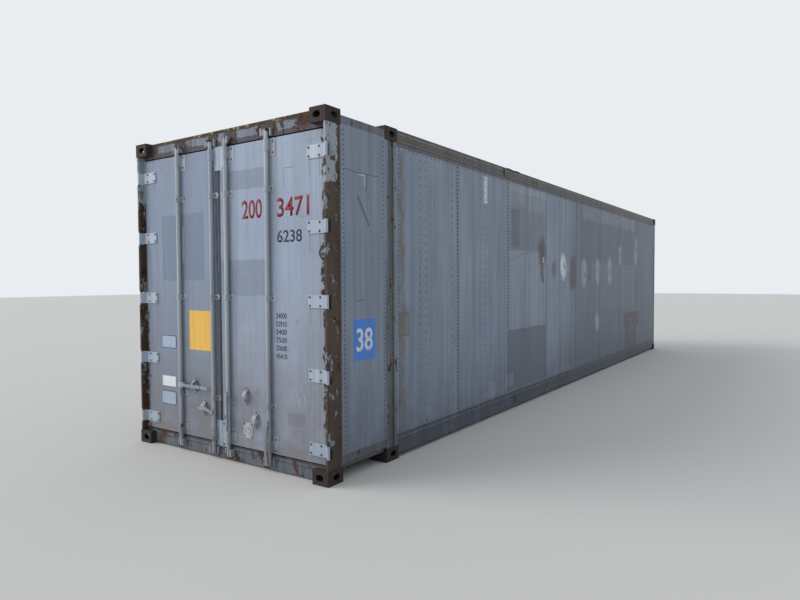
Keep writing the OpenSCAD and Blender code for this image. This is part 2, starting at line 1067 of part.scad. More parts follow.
// A plate on the face of the doors between u_from and u_to.
module face_plate(u_from, u_to, low, high) {
    across(u_from, u_to)
        translate([door_face - plate_t, low])
            square([plate_t, high - low]);
}

plate_low = keeper_low_z + keeper_h + plate_fit;
plate_high = keeper_high_z - plate_fit;

// A left plate carries the inner bar and covers the gap; a slot runs up beside the bar.
module left_plate(low, high) {
    difference() {
        face_plate(-left_edge - plate_left, plate_over - left_edge, low, high);
        at_rear(door_face - plate_t - cut, -left_edge - slot_in, (low + high) / 2)
            rotate([0, 90, 0])
                slot(slot_h, slot_w, plate_t + 2 * cut);
    }
}

module left_overlap_plates() {
    color(paint) {
        left_plate(plate_low, door_low + plate_h);
        left_plate(door_high - plate_h, plate_high);
    }
}

module right_overlap_plates() {
    color(paint) {
        face_plate(right_edge, ri_bar - strap_r, plate_low, door_low + plate_h);
        face_plate(right_edge, ri_bar - strap_r, door_high - plate_h, plate_high);
    }
}

// Where a hasp's bow lies, about the door's face: radius and middle from the end.
bow_rise = door_face - hasp_front;
bow_half = hasp_h / 2 - hasp_foot;
bow_r = (bow_half * bow_half + bow_rise * bow_rise) / (2 * bow_rise);

// Side profile of a hasp: a bowed strap with two feet, its middle at z = 0.
module hasp_outline() {
    intersection() {
        translate([hasp_front + bow_r, 0])
            difference() {
                circle(r = bow_r);
                circle(r = bow_r - hasp_t);
            }
        translate([hasp_front, -hasp_h / 2])
            square([bow_rise, hasp_h]);
    }
    for (z = [-hasp_h / 2, bow_half - hasp_t])
        translate([door_face - hasp_t, z])
            square([hasp_t, hasp_foot + hasp_t]);
}

// Distance of the bow's front from the end at a height z from its middle.
function bow_front(z) = hasp_front + bow_r - sqrt(bow_r * bow_r - z * z);

// A hasp at u whose handle lies at z; an engaged catch reaches out under the handle.
module hasp(u, z, engaged) {
    catch_z = z - handle_w / 2 - seat_gap - catch_t / 2;
    knuckle_s = bow_front(catch_z - z) + catch_t / 2;
    translate([0, 0, z])
        across(u - hasp_w / 2, u + hasp_w / 2)
            hasp_outline();
    translate([0, 0, catch_z])
        across(u - catch_w / 2, u + catch_w / 2) {
            translate([knuckle_s, 0])
                circle(r = catch_t);
            if (engaged)
                translate([handle_front, -catch_t / 2])
                    square([knuckle_s - handle_front, catch_t]);
            else
                translate([knuckle_s - catch_t, -catch_hang])
                    square([hasp_t, catch_hang]);
        }
}

module right_handle_hasps() {
    color(paint) {
        hasp(ri_bar + ri_hasp, ri_handle_z, false);
        hasp(ro_bar - ro_hasp, ro_handle_z, false);
    }
}

module left_handle_hasps() {
    color(paint) {
        hasp(lo_bar + lo_hasp, lo_handle_z, true);
        hasp(li_bar - li_hasp, li_handle_z + li_crank, true);
    }
}

// A cam: a sector of a disc that lies behind its keeper's horn.
module cam_outline() {
    tip = 2 * cam_reach;
    intersection() {
        circle(r = cam_reach);
        polygon([
            [0, 0], [tip * cos(cam_out), -tip * sin(cam_out)], [tip, 0],
            [tip * cos(cam_in), tip * sin(cam_in)]
        ]);
    }
}

// A lock bar at u with a cam at each end, and the pin of its handle at height z.
module lock_bar(u, toward, pivot, z) {
    back = handle_front + handle_t + pin_fit - bar_from_end;
    boss_r = eye_r - collar_t;
    cam_low = (keeper_h - cam_h) / 2;
    at_bar(u, toward, 0) {
        translate([0, 0, bar_low])
            cylinder(h = bar_high - bar_low, r = bar_r);
        for (low = [keeper_low_z + cam_low, keeper_high_z + cam_low])
            translate([0, 0, low])
                linear_extrude(height = cam_h)
                    cam_outline();
        translate([0, 0, z - collar_h / 2])
            cylinder(h = collar_h, r = bar_r + collar_t);
        translate([-pivot_r, back, z - collar_h / 2])
            cube([pivot + 2 * pivot_r, -back, collar_h]);
        translate([pivot, 0, z])
            rotate([90, 0, 0]) {
                cylinder(h = -back, r = boss_r);
                cylinder(h = bar_from_end - handle_front, r = pivot_r);
            }
    }
}

module lock_bar_left_outer() {
    color(galvanised)
        lock_bar(lo_bar, 1, lo_pivot, lo_handle_z);
}

module lock_bar_left_inner() {
    color(galvanised)
        lock_bar(li_bar, -1, 0, li_handle_z);
}

module lock_bar_right_inner() {
    color(galvanised)
        lock_bar(ri_bar, 1, 0, ri_handle_z);
}

module lock_bar_right_outer() {
    color(galvanised)
        lock_bar(ro_bar, -1, 0, ro_handle_z);
}

// A flat handle about its pivot, reaching to +x; crank lifts its straight part.
module handle_outline(l, crank) {
    half = handle_w / 2;
    slope = crank == 0 ? 0 : eye_r + 3 * crank;
    difference() {
        union() {
            circle(r = eye_r);
            polygon([
                [0, -half], [slope, crank - half], [l - half, crank - half],
                [l - half, crank + half], [slope, crank + half], [0, half]
            ]);
            translate([l - half, crank])
                circle(r = half);
        }
        circle(r = pivot_r + pin_fit);
    }
}

// A bowed handle whose ends lie on the x axis and whose middle rises by bow.
module bowed_outline(l, bow) {
    half = handle_w / 2;
    r = (l * l / 4 + bow * bow) / (2 * bow);
    difference() {
        union() {
            circle(r = eye_r);
            intersection() {
                translate([l / 2, bow - r])
                    difference() {
                        circle(r = r + half, $fn = 180);
                        circle(r = r - half, $fn = 180);
                    }
                translate([0, -half])
                    square([l, bow + 2 * half]);
            }
        }
        circle(r = pivot_r + pin_fit);
    }
}

// Hangs or lays a handle on the bar at u, turned up by angle from its toward side.
module handle(u, toward, pivot, z, angle) {
    at_bar(u, toward, z)
        translate([pivot, handle_front + handle_t - bar_from_end, 0])
            rotate([0, -angle, 0])
                rotate([90, 0, 0])
                    linear_extrude(height = handle_t)
                        children();
}

module handle_left_outer() {
    color(galvanised)
        handle(lo_bar, 1, lo_pivot, lo_handle_z, 0)
            handle_outline(lo_handle_l, 0);
}

module handle_left_inner() {
    color(galvanised)
        handle(li_bar, -1, 0, li_handle_z, 0)
            handle_outline(li_handle_l, li_crank);
}

module handle_right_inner() {
    color(galvanised)
        handle(ri_bar, 1, 0, ri_handle_z, -90)
            handle_outline(ri_handle_l, 0);
}

module handle_right_outer() {
    color(galvanised)
        handle(ro_bar, -1, 0, ro_handle_z, -90)
            bowed_outline(ro_handle_l, ro_bow);
}

rear_corner_castings();
mid_castings();
front_corner_castings();
rear_posts();
hinge_lugs();
door_header();
door_sill();
cam_keepers();
mid_posts();
mid_crossbeams();
overhang_rails();
top_rails();
bottom_rails();
side_skin_left();
side_skin_right();
wall_posts();
front_posts();
front_header();
front_sill();
front_skin();
front_wall_posts();
roof_skin();
roof_bows();
floor();
cross_members();
left_door_panel();
left_door_gasket();
left_hinge_blades();
left_bar_brackets();
left_handle_hasps();
left_overlap_plates();
right_door_panel();
right_door_gasket();
right_hinge_blades();
right_bar_brackets();
right_handle_hasps();
right_overlap_plates();
lock_bar_left_outer();
lock_bar_left_inner();
lock_bar_right_inner();
lock_bar_right_outer();
handle_left_outer();
handle_left_inner();
handle_right_inner();
handle_right_outer();
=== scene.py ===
# %% [markdown]
# # A weathered high cube container
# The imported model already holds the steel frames, the sheets, the doors and the lock gear,
# each at its real size. This lesson dresses it: every surface gets a finish made of nodes,
# and the rivets, bolts, digits, plates and torn seals are added as small pieces of their own.

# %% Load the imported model
import math
import bpy
import bmesh
from mathutils import Matrix, Vector


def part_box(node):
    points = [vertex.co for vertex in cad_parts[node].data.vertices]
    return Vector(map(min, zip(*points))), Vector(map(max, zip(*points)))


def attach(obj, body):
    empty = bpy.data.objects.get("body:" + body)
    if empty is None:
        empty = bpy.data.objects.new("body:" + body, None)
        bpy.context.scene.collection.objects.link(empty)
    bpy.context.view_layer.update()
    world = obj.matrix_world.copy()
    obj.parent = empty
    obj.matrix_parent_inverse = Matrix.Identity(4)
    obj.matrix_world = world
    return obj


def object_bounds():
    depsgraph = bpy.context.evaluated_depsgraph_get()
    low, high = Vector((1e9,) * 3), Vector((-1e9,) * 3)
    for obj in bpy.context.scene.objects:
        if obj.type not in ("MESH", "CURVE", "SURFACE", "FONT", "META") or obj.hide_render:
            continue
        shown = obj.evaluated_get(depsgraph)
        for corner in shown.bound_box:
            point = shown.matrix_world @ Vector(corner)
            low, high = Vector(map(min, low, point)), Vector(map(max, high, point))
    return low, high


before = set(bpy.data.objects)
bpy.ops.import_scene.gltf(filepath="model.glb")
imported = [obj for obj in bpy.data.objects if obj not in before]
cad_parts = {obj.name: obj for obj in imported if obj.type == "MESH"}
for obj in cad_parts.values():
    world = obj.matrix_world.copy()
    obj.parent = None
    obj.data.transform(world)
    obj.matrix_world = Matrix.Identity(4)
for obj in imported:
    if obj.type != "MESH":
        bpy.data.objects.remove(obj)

cad_box = [list(corner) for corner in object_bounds()]
LENGTH = cad_box[1][0] - cad_box[0][0]
WIDTH = cad_box[1][1] - cad_box[0][1]
HEIGHT = cad_box[1][2]
print("container", round(LENGTH, 3), "x", round(WIDTH, 3), "x", round(HEIGHT, 3), "m")

# %% [markdown]
# A container is measured from its door end, so places are given the same way: s millimetres
# in from the door end, u millimetres across towards the side that the camera sees, and z
# millimetres up. One function turns them into Blender's metres.

# %% Places on the container
def at(s, u, z):
    return Vector((s / 1000 - LENGTH / 2, -u / 1000, z / 1000))


DOOR_FACE = 56  # the doors' faces lie this far in from the castings
SIDE = WIDTH * 500
SHEET = SIDE - 6  # the outer face of a side sheet
print("door end at x =", round(at(0, 0, 0).x, 3))

# %% [markdown]
# The camera stands where the photographer stood, at eye level off the corner of the door
# end. Its place, its turn and its focal length were worked out beforehand from the corner
# castings, whose sizes are standard. Three numbers turn it: yaw, pitch and a trace of roll.

# %% Camera
FOCAL_PIXELS = 609.7
PHOTO_WIDTH = 800
CAMERA_PLACE = at(-3466, 4277, 1586)
YAW, PITCH, ROLL = math.radians(34.56), math.radians(-1.94), math.radians(-0.25)
forward = Vector((math.cos(YAW) * math.cos(PITCH), math.sin(YAW) * math.cos(PITCH), math.sin(PITCH)))
right = Vector((math.sin(YAW), -math.cos(YAW), 0))
up = right.cross(forward)
rolled_right = math.cos(ROLL) * right + math.sin(ROLL) * up
rolled_up = -math.sin(ROLL) * right + math.cos(ROLL) * up

lens = bpy.data.cameras.new("photo camera")
lens.sensor_width = 36  # millimetres
lens.lens = FOCAL_PIXELS * lens.sensor_width / PHOTO_WIDTH
lens.clip_end = 300
camera = bpy.data.objects.new("photo camera", lens)
turn = Matrix((rolled_right, rolled_up, -forward)).transposed().to_4x4()
camera.matrix_world = Matrix.Translation(CAMERA_PLACE) @ turn
bpy.context.scene.collection.objects.link(camera)
bpy.context.scene.camera = camera
print("lens", round(lens.lens, 2), "mm")

# %% [markdown]
# Materials are built from nodes, and a node is always the same three steps: make it, set it
# up, and feed its sockets with numbers or with the outputs of other nodes. One small
# function does those steps. Colours are written as the hex values a painter would pick on
# a screen, and one function turns them into the linear values that light is added up in.

# %% Colours and nodes
def linear(hex_code, alpha=1.0):
    values = [int(hex_code[i:i + 2], 16) / 255 for i in (1, 3, 5)]
    return [v / 12.92 if v <= 0.04045 else ((v + 0.055) / 1.055) ** 2.4 for v in values] + [alpha]


def add(tree, kind, inputs=None, **settings):
    node = tree.nodes.new(kind)
    for name, value in settings.items():
        setattr(node, name, value)
    for name, value in (inputs or {}).items():
        if isinstance(value, bpy.types.NodeSocket):
            tree.links.new(value, node.inputs[name])
        else:
            node.inputs[name].default_value = value
    return node


def new_finish(name):
    finish = bpy.data.materials.new(name)
    finish.use_nodes = True
    tree = finish.node_tree
    tree.nodes.clear()
    place = add(tree, "ShaderNodeTexCoord").outputs["Object"]
    return finish, tree, place


print("white paint is", [round(v, 3) for v in linear("#e8eaec")])

# %% [markdown]
# Weather leaves the same few traces on every painted surface: broad clouds where the paint
# has chalked, runs where rain carries dirt down, grime near the ground, specks and blisters
# of rust, and patches of newer paint. Each trace is a number between 0 and 1 at each point,
# a mask, and a mask mixes one colour over another. These helpers make the masks. All of
# them read object coordinates, which are metres here, so a scale of 10 gives 100 mm clouds.
# "clouds" is noise cut between two levels, "inside" fills the box between two corners, and
# "stroke" follows a line. "frayed" shifts the place a little, so that edges wander, and
# "ragged" eats a box away. "facing_out" is 1 where a face looks away from the middle.

# %% Masks of weather
def clouds(tree, place, per_metre, low, high, detail=4.0, stretch=(1, 1, 1), rough=0.55):
    spread = add(tree, "ShaderNodeMapping", {"Vector": place, "Scale": stretch})
    noise = add(tree, "ShaderNodeTexNoise", {"Vector": spread.outputs[0], "Scale": per_metre,
                                             "Detail": detail, "Roughness": rough})
    return add(tree, "ShaderNodeMapRange", {"Value": noise.outputs[0], "From Min": low,
                                            "From Max": high}).outputs[0]


def ramp(tree, value, low, high):
    return add(tree, "ShaderNodeMapRange", {"Value": value, "From Min": low,
                                            "From Max": high}).outputs[0]


def times(tree, a, b):
    return add(tree, "ShaderNodeMath", {0: a, 1: b}, operation="MULTIPLY").outputs[0]


def most(tree, a, b):
    return add(tree, "ShaderNodeMath", {0: a, 1: b}, operation="MAXIMUM").outputs[0]


def over(tree, under, colour, mask):
    mix = add(tree, "ShaderNodeMix", data_type="RGBA")
    # the mix node has sockets for each kind of value, and those for colours are 6, 7 and 2
    for socket, value in ((mix.inputs[0], mask), (mix.inputs[6], under), (mix.inputs[7], colour)):
        if isinstance(value, bpy.types.NodeSocket):
            tree.links.new(value, socket)
        else:
            socket.default_value = value
    return mix.outputs[2]


def coat(tree, under, hex_code, mask, strength):
    return over(tree, under, linear(hex_code), times(tree, mask, strength))


def frayed(tree, place, per_metre, metres):
    noise = add(tree, "ShaderNodeTexNoise", {"Vector": place, "Scale": per_metre, "Detail": 3.0})
    centred = add(tree, "ShaderNodeVectorMath", {0: noise.outputs["Color"], 1: (0.5, 0.5, 0.5)},
                  operation="SUBTRACT")
    sized = add(tree, "ShaderNodeVectorMath", {0: centred.outputs[0], "Scale": metres},
                operation="SCALE")
    return add(tree, "ShaderNodeVectorMath", {0: place, 1: sized.outputs[0]},
               operation="ADD").outputs[0]


def inside(tree, place, corner_a, corner_b, soft=0.004):
    centre = (corner_a + corner_b) / 2
    half = Vector([abs(v) / 2 for v in corner_b - corner_a])
    offset = add(tree, "ShaderNodeVectorMath", {0: place, 1: centre}, operation="SUBTRACT")
    size = add(tree, "ShaderNodeVectorMath", {0: offset.outputs[0]}, operation="ABSOLUTE")
    beyond = add(tree, "ShaderNodeVectorMath", {0: size.outputs[0], 1: half}, operation="SUBTRACT")
    axes = add(tree, "ShaderNodeSeparateXYZ", {0: beyond.outputs[0]})
    worst = most(tree, most(tree, axes.outputs[0], axes.outputs[1]), axes.outputs[2])
    return ramp(tree, worst, soft, -soft)


def any_of(tree, masks):
    result = masks[0]
    for mask in masks[1:]:
        result = most(tree, result, mask)
    return result


def door_mark(u_a, u_b, z_a, z_b):
    return at(DOOR_FACE - 8, u_a, z_a), at(DOOR_FACE + 12, u_b, z_b)


def side_mark(s_a, s_b, z_a, z_b):
    return at(s_a, SHEET - 60, z_a), at(s_b, SIDE + 20, z_b)


def steel_mark(s_a, s_b, u_a, u_b, z_a, z_b):
    return at(s_a, u_a, z_a), at(s_b, u_b, z_b)


def ragged(tree, place, marks, low=0.30, high=0.52, per_metre=16.0):
    edge = frayed(tree, place, 14.0, 0.09)
    eaten = clouds(tree, place, per_metre, low, high, 9.0, (1, 1, 0.6), 0.7)
    zone = any_of(tree, [inside(tree, edge, a, b, 0.02) for a, b in marks])
    return ramp(tree, times(tree, zone, eaten), 0.42, 0.58)


def facing_out(tree, place):
    normal = add(tree, "ShaderNodeTexCoord").outputs["Normal"]
    from_middle = add(tree, "ShaderNodeVectorMath", {0: place, 1: (0, 0, HEIGHT / 2)},
                      operation="SUBTRACT").outputs[0]
    outwards = add(tree, "ShaderNodeVectorMath", {0: from_middle, 1: normal}, operation="DOT_PRODUCT")
    return ramp(tree, outwards.outputs["Value"], 0.0, 0.01)


def stroke(tree, place, start, end, metres):
    along = end - start
    offset = add(tree, "ShaderNodeVectorMath", {0: place, 1: start}, operation="SUBTRACT").outputs[0]
    dot = add(tree, "ShaderNodeVectorMath", {0: offset, 1: along / along.length_squared},
              operation="DOT_PRODUCT").outputs["Value"]
    share = add(tree, "ShaderNodeClamp", {"Value": dot}).outputs[0]
    foot = add(tree, "ShaderNodeVectorMath", {0: along, "Scale": share}, operation="SCALE").outputs[0]
    gap = add(tree, "ShaderNodeVectorMath", {0: offset, 1: foot}, operation="DISTANCE").outputs["Value"]
    return ramp(tree, gap, 0.7 * metres, 0.3 * metres)


# %% [markdown]
# One recipe carries all the painted metal. Its arguments say how much of each trace a
# surface shows: patches are newer coats with soft edges, and a few are painted shade; lines
# are crisp stripes, some of them painted shade in grooves and painted highlights on ridges;
# strokes are scratches from one point to another, and a few are the painted shade and
# highlight of a crease; stains are sprayed or washed and fade out; islands are what is left
# of a peeling coat over rust, and one is a painted highlight along an edge; and moss grows
# last of all.
# Bare metal isn't seen anywhere, because chalked paint and rust are both dull and not
# metallic, so the shader is a plain rough one with the bump of old paint. A sheet is one
# mesh with an outer and an inner face, so a mark is painted only where the face looks out.

# %% The recipe for weathered paint
RUST_DARK = "#2a201d"
RUST = "#503628"
RUST_BRIGHT = "#80523a"
BROAD_STROKE = 0.08  # metres; a broader stroke was sprayed or washed on, and its edges wander


def weathered(name, paint, faded, dirt, runs=0.4, grime=0.5, rust=0.0, rust_size=7.0, spots=0.2,
              patches=(), lines=(), strokes=(), stains=(), rust_patches=(), islands_and_highlights=(), moss=(),
              bump=0.25, roughness=0.62, grime_top=0.9):
    finish, tree, place = new_finish(name)
    colour = over(tree, linear(paint), linear(faded), clouds(tree, place, 1.3, 0.35, 0.7, 5.0))
    loose = frayed(tree, place, 9.0, 0.03)
    outer = facing_out(tree, place)
    for patch_colour, strength, marks in patches:
        mask = times(tree, outer, any_of(tree, [inside(tree, loose, a, b) for a, b in marks]))
        colour = coat(tree, colour, patch_colour, mask, strength)
    for line_colour, strength, marks in lines:
        mask = times(tree, outer, any_of(tree, [inside(tree, place, a, b, 0.001) for a, b in marks]))
        colour = coat(tree, colour, line_colour, mask, strength)
    washed = frayed(tree, place, 5.0, 0.16)
    for stroke_colour, strength, metres, marks in strokes:
        where = washed if metres > BROAD_STROKE else place
        mask = times(tree, outer, any_of(tree, [stroke(tree, where, a, b, metres) for a, b in marks]))
        colour = coat(tree, colour, stroke_colour, mask, strength)
    for stain_colour, strength, soft, marks in stains:
        mask = times(tree, outer, any_of(tree, [inside(tree, washed, a, b, soft) for a, b in marks]))
        colour = coat(tree, colour, stain_colour, mask, strength)
    rain = clouds(tree, place, 9.0, 0.48, 0.75, 6.0, (1, 1, 0.045))
    colour = coat(tree, colour, dirt, rain, runs)
    fine = clouds(tree, place, 26.0, 0.46, 0.72, 7.0, (1, 1, 0.03))
    colour = coat(tree, colour, dirt, fine, 0.7 * runs)
    washed_clean = clouds(tree, place, 18.0, 0.56, 0.8, 6.0, (1, 1, 0.05))
    colour = coat(tree, colour, faded, washed_clean, 0.6 * runs)
    height = add(tree, "ShaderNodeSeparateXYZ", {0: place}).outputs[2]
    low = ramp(tree, height, grime_top, 0.05)
    splash = times(tree, low, clouds(tree, place, 5.0, 0.1, 0.55, 8.0))
    colour = coat(tree, colour, dirt, splash, grime)
    grains = clouds(tree, place, 120.0, 0.3, 0.75, 3.0)
    colour = coat(tree, colour, faded, grains, 0.18)
    pits = clouds(tree, place, 26.0, 0.70 - 0.1 * spots, 0.74 - 0.1 * spots, 6.0, (1, 1, 0.6))
    if rust > 0:
        flakes = clouds(tree, place, rust_size, 0.62 - 0.3 * rust, 0.66 - 0.3 * rust, 10.0,
                        (1, 1, 0.7), 0.68)
        rusted = most(tree, flakes, times(tree, pits, min(1.0, 2 * spots)))
    else:
        rusted = times(tree, pits, spots)
    if rust_patches:
        rusted = most(tree, rusted, ragged(tree, place, rust_patches))
    stain = over(tree, linear(RUST_DARK), linear(RUST), clouds(tree, place, 30.0, 0.35, 0.62, 8.0))
    stain = over(tree, stain, linear(RUST_BRIGHT), clouds(tree, place, 75.0, 0.56, 0.72, 5.0))
    colour = over(tree, colour, stain, rusted)
    # each island is a scrap of old paint, and one of them is a painted highlight along the rear posts'
    # front edge
    for island_and_highlight_colour, missing, marks in islands_and_highlights:
        scraps_and_highlight = ragged(tree, place, marks, missing, missing + 0.06, 9.0)
        colour = over(tree, colour, linear(island_and_highlight_colour), scraps_and_highlight)
    for green, missing, marks in moss:
        growth = ragged(tree, place, marks, missing, missing + 0.2, 30.0)
        colour = over(tree, colour, linear(green), growth)
    rough = add(tree, "ShaderNodeMapRange", {"Value": rusted, "To Min": roughness,
                                             "To Max": 0.9}).outputs[0]
    crust = add(tree, "ShaderNodeMath", {0: times(tree, rusted, 0.6), 1: times(tree, grains, 0.4)},
                operation="ADD").outputs[0]
    relief = add(tree, "ShaderNodeBump", {"Height": crust, "Strength": bump, "Distance": 0.002})
    shader = add(tree, "ShaderNodeBsdfPrincipled", {"Base Color": colour, "Roughness": rough,
                                                    "Normal": relief.outputs[0]})
    shader.inputs["Specular IOR Level"].default_value = 0.35
    add(tree, "ShaderNodeOutputMaterial", {0: shader.outputs[0]})
    return finish


print("recipe ready")

# %% [markdown]
# The doors are plywood faced with sheet steel, sprayed light grey. Newer coats of a
# darker grey hide old markings. The camera side has blistered along the hinge edge.

# %% Door paint
HINGES = [260 + 578.25 * i for i in range(5)]
door_paint = weathered(
    "sprayed alkyd enamel on steel faced plywood, chalked", "#8b9ab0", "#9aa8bc", "#706a69",
    runs=0.42, grime=0.9, spots=0.25, grime_top=1.7,
    patches=[
        ("#6f8097", 0.72, [steel_mark(-300, 400, -1300, -54, 0, 2900)]),
        ("#67768c", 0.85, [door_mark(-900, -280, 1585, 2195)]),
        ("#788597", 0.85, [door_mark(-54, 500, 2354, 2518), door_mark(-54, 518, 1455, 1757)]),
        ("#6e7b8c", 0.85, [door_mark(745, 931, 412, 510)]),
        # the dark band where the doors meet is partly the dark gap between them and partly a painted
        # shadow of the left door's inner lock bar
        ("#443b3c", 0.95, [door_mark(-115, -53, 345, 2545)]),
    ],
    lines=[
        ("#4e535a", 0.75, [door_mark(side - 1.5, side + 1.5, 160, 2727) for side in (-1140, 1140)]),
        ("#8e3440", 0.8, [door_mark(902, 906, 2082, 2254), door_mark(1000, 1004, 2082, 2254),
                          door_mark(902, 1004, 2082, 2086), door_mark(902, 1004, 2250, 2254)]),
        ("#b3beca", 0.7, [door_mark(-594, -575, 1751, 2077)]),
        ("#5f7fb0", 0.7, [door_mark(-600, -594, 1576, 2205)]),
        ("#555e6b", 0.7, [door_mark(-538, -530, z, z + 8) for z in (1843, 1890, 1950, 1998)]),
        ("#e6ebee", 0.9, [door_mark(-914, -896, z, z + 9) for z in (186, 215, 247)]),
    ],
    strokes=[
        ("#4d525b", 0.8, 0.005, [
            (at(DOOR_FACE, *a), at(DOOR_FACE, *b)) for a, b in (
                ((371, 2707), (371, 2586)), ((725, 2481), (838, 2479)), ((725, 2481), (728, 2331)),
                ((816, 679), (815, 607)), ((865, 715), (871, 644)), ((935, 722), (961, 623)),
                ((885, 690), (893, 600)), ((905, 700), (915, 610)), ((989, 677), (966, 543)),
                ((840, 640), (843, 560)), ((1002, 620), (985, 540)))]),
        ("#504f56", 0.75, 0.007, [
            (at(DOOR_FACE, *a), at(DOOR_FACE, *b)) for a, b in (
                ((808, 300), (815, 350)), ((815, 350), (861, 380)), ((861, 380), (905, 366)),
                ((905, 366), (925, 320)), ((925, 320), (926, 292)), ((-545, 456), (-342, 432)),
                ((-540, 430), (-350, 412)), ((-529, 363), (-344, 350)))]),
        ("#5a5e66", 0.55, 0.012, [(at(DOOR_FACE, u, z - 52), at(DOOR_FACE, u + 4, z - 190))
                                  for z in HINGES for u in (-1118, -1006, 1000, 1106)]),
    ],
    stains=[
        ("#686d76", 0.5, 0.05, [door_mark(980, 1150, 2630, 2730), door_mark(-54, 60, 1700, 2540)]),
        ("#665f62", 0.6, 0.05, [door_mark(-1154, 1154, 135, 185), door_mark(-470, -140, 330, 560),
                                door_mark(180, 420, 300, 640), door_mark(-470, -330, 560, 700)]),
    ],
    rust_patches=[door_mark(1134, 1160, 140, 2740), door_mark(1112, 1160, 1430, 1850),
                  door_mark(-1160, -1130, 140, 1300)])

# %% [markdown]
# The sides are aluminium sheets riveted to hat shaped posts. Aluminium doesn't rust, so
# the brown spots there are stains from steel tools and straps. Patches of dull grey paint
# hide old lettering, and smaller ones in paler paint close holes.

# %% Side sheets
SHEET_SEAMS = (2033, 3255, 4515, 5690, 6925, 8172, 9405)
side_paint = weathered(
    "weathered alkyd paint on rolled aluminium sheet", "#798698", "#8b97a6", "#54575e",
    runs=0.6, grime=0.75, spots=0.08, bump=0.2, roughness=0.5,
    patches=[
        ("#8c97a4", 0.65, [side_mark(3270, 4466, 970, 1928)]),
        ("#939dab", 0.65, [side_mark(5930, 9200, 1035, 1832)]),
        ("#585f6b", 0.75, [side_mark(3260, 4470, 250, 970)]),
        ("#626872", 0.5, [side_mark(5900, 9700, 1850, 2700), side_mark(3300, 4470, 1940, 2650)]),
        ("#545c5b", 0.65, [side_mark(3354, 3584, 1969, 2434)]),
        ("#4b4e54", 0.8, [side_mark(958, 1126, 1076, 1294)]),
        ("#7c7b7c", 0.9, [side_mark(968, 1114, 1090, 1280)]),
        ("#939eaa", 0.7, [side_mark(2711, 2917, 249, 417), side_mark(3188, 3419, 292, 445)]),
        ("#4c3339", 1.0, [side_mark(8472, 9640, 640, 925), side_mark(8555, 9376, 240, 640)]),
        ("#4a4844", 0.75, [side_mark(100, 186, 137, 2760)]),
    ],
    lines=[
        ("#2f86e6", 1.0, [side_mark(325, 615, 928, 1264)]),
        ("#cfd5db", 0.85, [side_mark(2612, 2706, 2421, 2717)]),
        ("#8c7076", 0.7, [side_mark(8560, 9600, 770, 800), side_mark(8555, 9300, 610, 640)]),
        ("#2f3238", 0.8, [side_mark(5253, 5275, 320, 555), side_mark(5415, 5440, 320, 555)]),
        ("#494d56", 0.6, [side_mark(s - 3, s + 3, 240, 2740) for s in SHEET_SEAMS]),
    ],
    strokes=[
        # the first two dark lines follow the crease high on the overhang sheet and are painted shade in
        # the fold
        ("#40444c", 0.85, 0.007, [(at(228, SHEET, 2453), at(395, SHEET, 2440)),
                                  (at(395, SHEET, 2440), at(665, SHEET, 2444)),
                                  (at(376, SHEET, 1415), at(472, SHEET, 1418))]),
        ("#2e3137", 0.9, 0.011, [(at(509, SHEET, 2434), at(508, SHEET, 2314))]),
        ("#494e57", 0.8, 0.006, [(at(508, SHEET, 2314), at(514, SHEET, 2160))]),
        # a painted highlight along the bent lip of the crease
        ("#d5dbe0", 0.9, 0.009, [(at(395, SHEET, 2429), at(480, SHEET, 2432)),
                                 (at(480, SHEET, 2432), at(485, SHEET, 2350))]),
        ("#959eaa", 0.6, 0.005, [(at(530, SHEET, z), at(628, SHEET, z + 3))
                                 for z in range(2330, 2440, 20)]),
        ("#4e525b", 0.8, 0.028, [(at(393, SHEET, 2248), at(532, SHEET, 2033))]),
        ("#99a2b0", 0.7, 0.008, [(at(560, SHEET, 2101), at(596, SHEET, 1971))]),
        ("#868b93", 0.6, 0.010, [(at(1130, SHEET, 1200), at(2700, SHEET, 1262))]),
        ("#5c6471", 0.7, 0.012, [(at(3300, SHEET, 1790), at(3700, SHEET, 1900)),
                                 (at(3700, SHEET, 1900), at(4100, SHEET, 1930))]),
        ("#4f3436", 0.9, 0.26, [(at(4325, SHEET, 1990), at(4335, SHEET, 1880)),
                                (at(5575, SHEET, 1800), at(5560, SHEET, 1560))]),
        ("#53393c", 0.85, 0.10, [(at(4345, SHEET, 1900), at(4345, SHEET, 1570))]),
        ("#58444a", 0.7, 0.15, [(at(4780, SHEET, 1780), at(4780, SHEET, 1650)),
                                (at(6376, SHEET, 1770), at(6376, SHEET, 1610))]),
        ("#e4eaf0", 0.92, 0.21, [(at(s, SHEET, high), at(s, SHEET, low)) for s, high, low in (
            (5153, 1840, 1680), (6088, 1770, 1560), (6820, 1800, 1600), (7515, 1830, 1590),
            (8197, 2090, 1930), (9359, 2300, 1940), (6805, 880, 800))]),
        ("#e2d5c0", 0.9, 0.05, [(at(4378, SHEET, 1850), at(4378, SHEET, 1825))]),
        ("#636974", 0.75, 0.045, [(at(s, SHEET, z + 45), at(s + 40, SHEET, z - 20)) for s, z in (
            (5170, 1760), (6100, 1640), (6815, 1690), (7530, 1720), (7500, 1640), (8210, 2000),
            (9340, 2150))]),
    ],
    stains=[
        ("#625c4c", 0.85, 0.03, [side_mark(975, 1050, 150, 2700)]),
        ("#4a505b", 0.62, 0.30, [steel_mark(5500, 11700, 800, 1700, -400, 3200)]),
        ("#4a505b", 0.10, 0.05, [steel_mark(0, 780, 800, 1700, -400, 3200)]),
        ("#a0a8af", 0.4, 0.05, [side_mark(3290, 4450, 2480, 2740), side_mark(6000, 9300, 2540, 2740)]),
    ])
rivet_paint = weathered("painted aluminium rivet, dirt round its head", "#4b5461", "#57606e", "#33373e",
                        runs=0.4, grime=0.2, spots=0.1, bump=0.2, roughness=0.5)
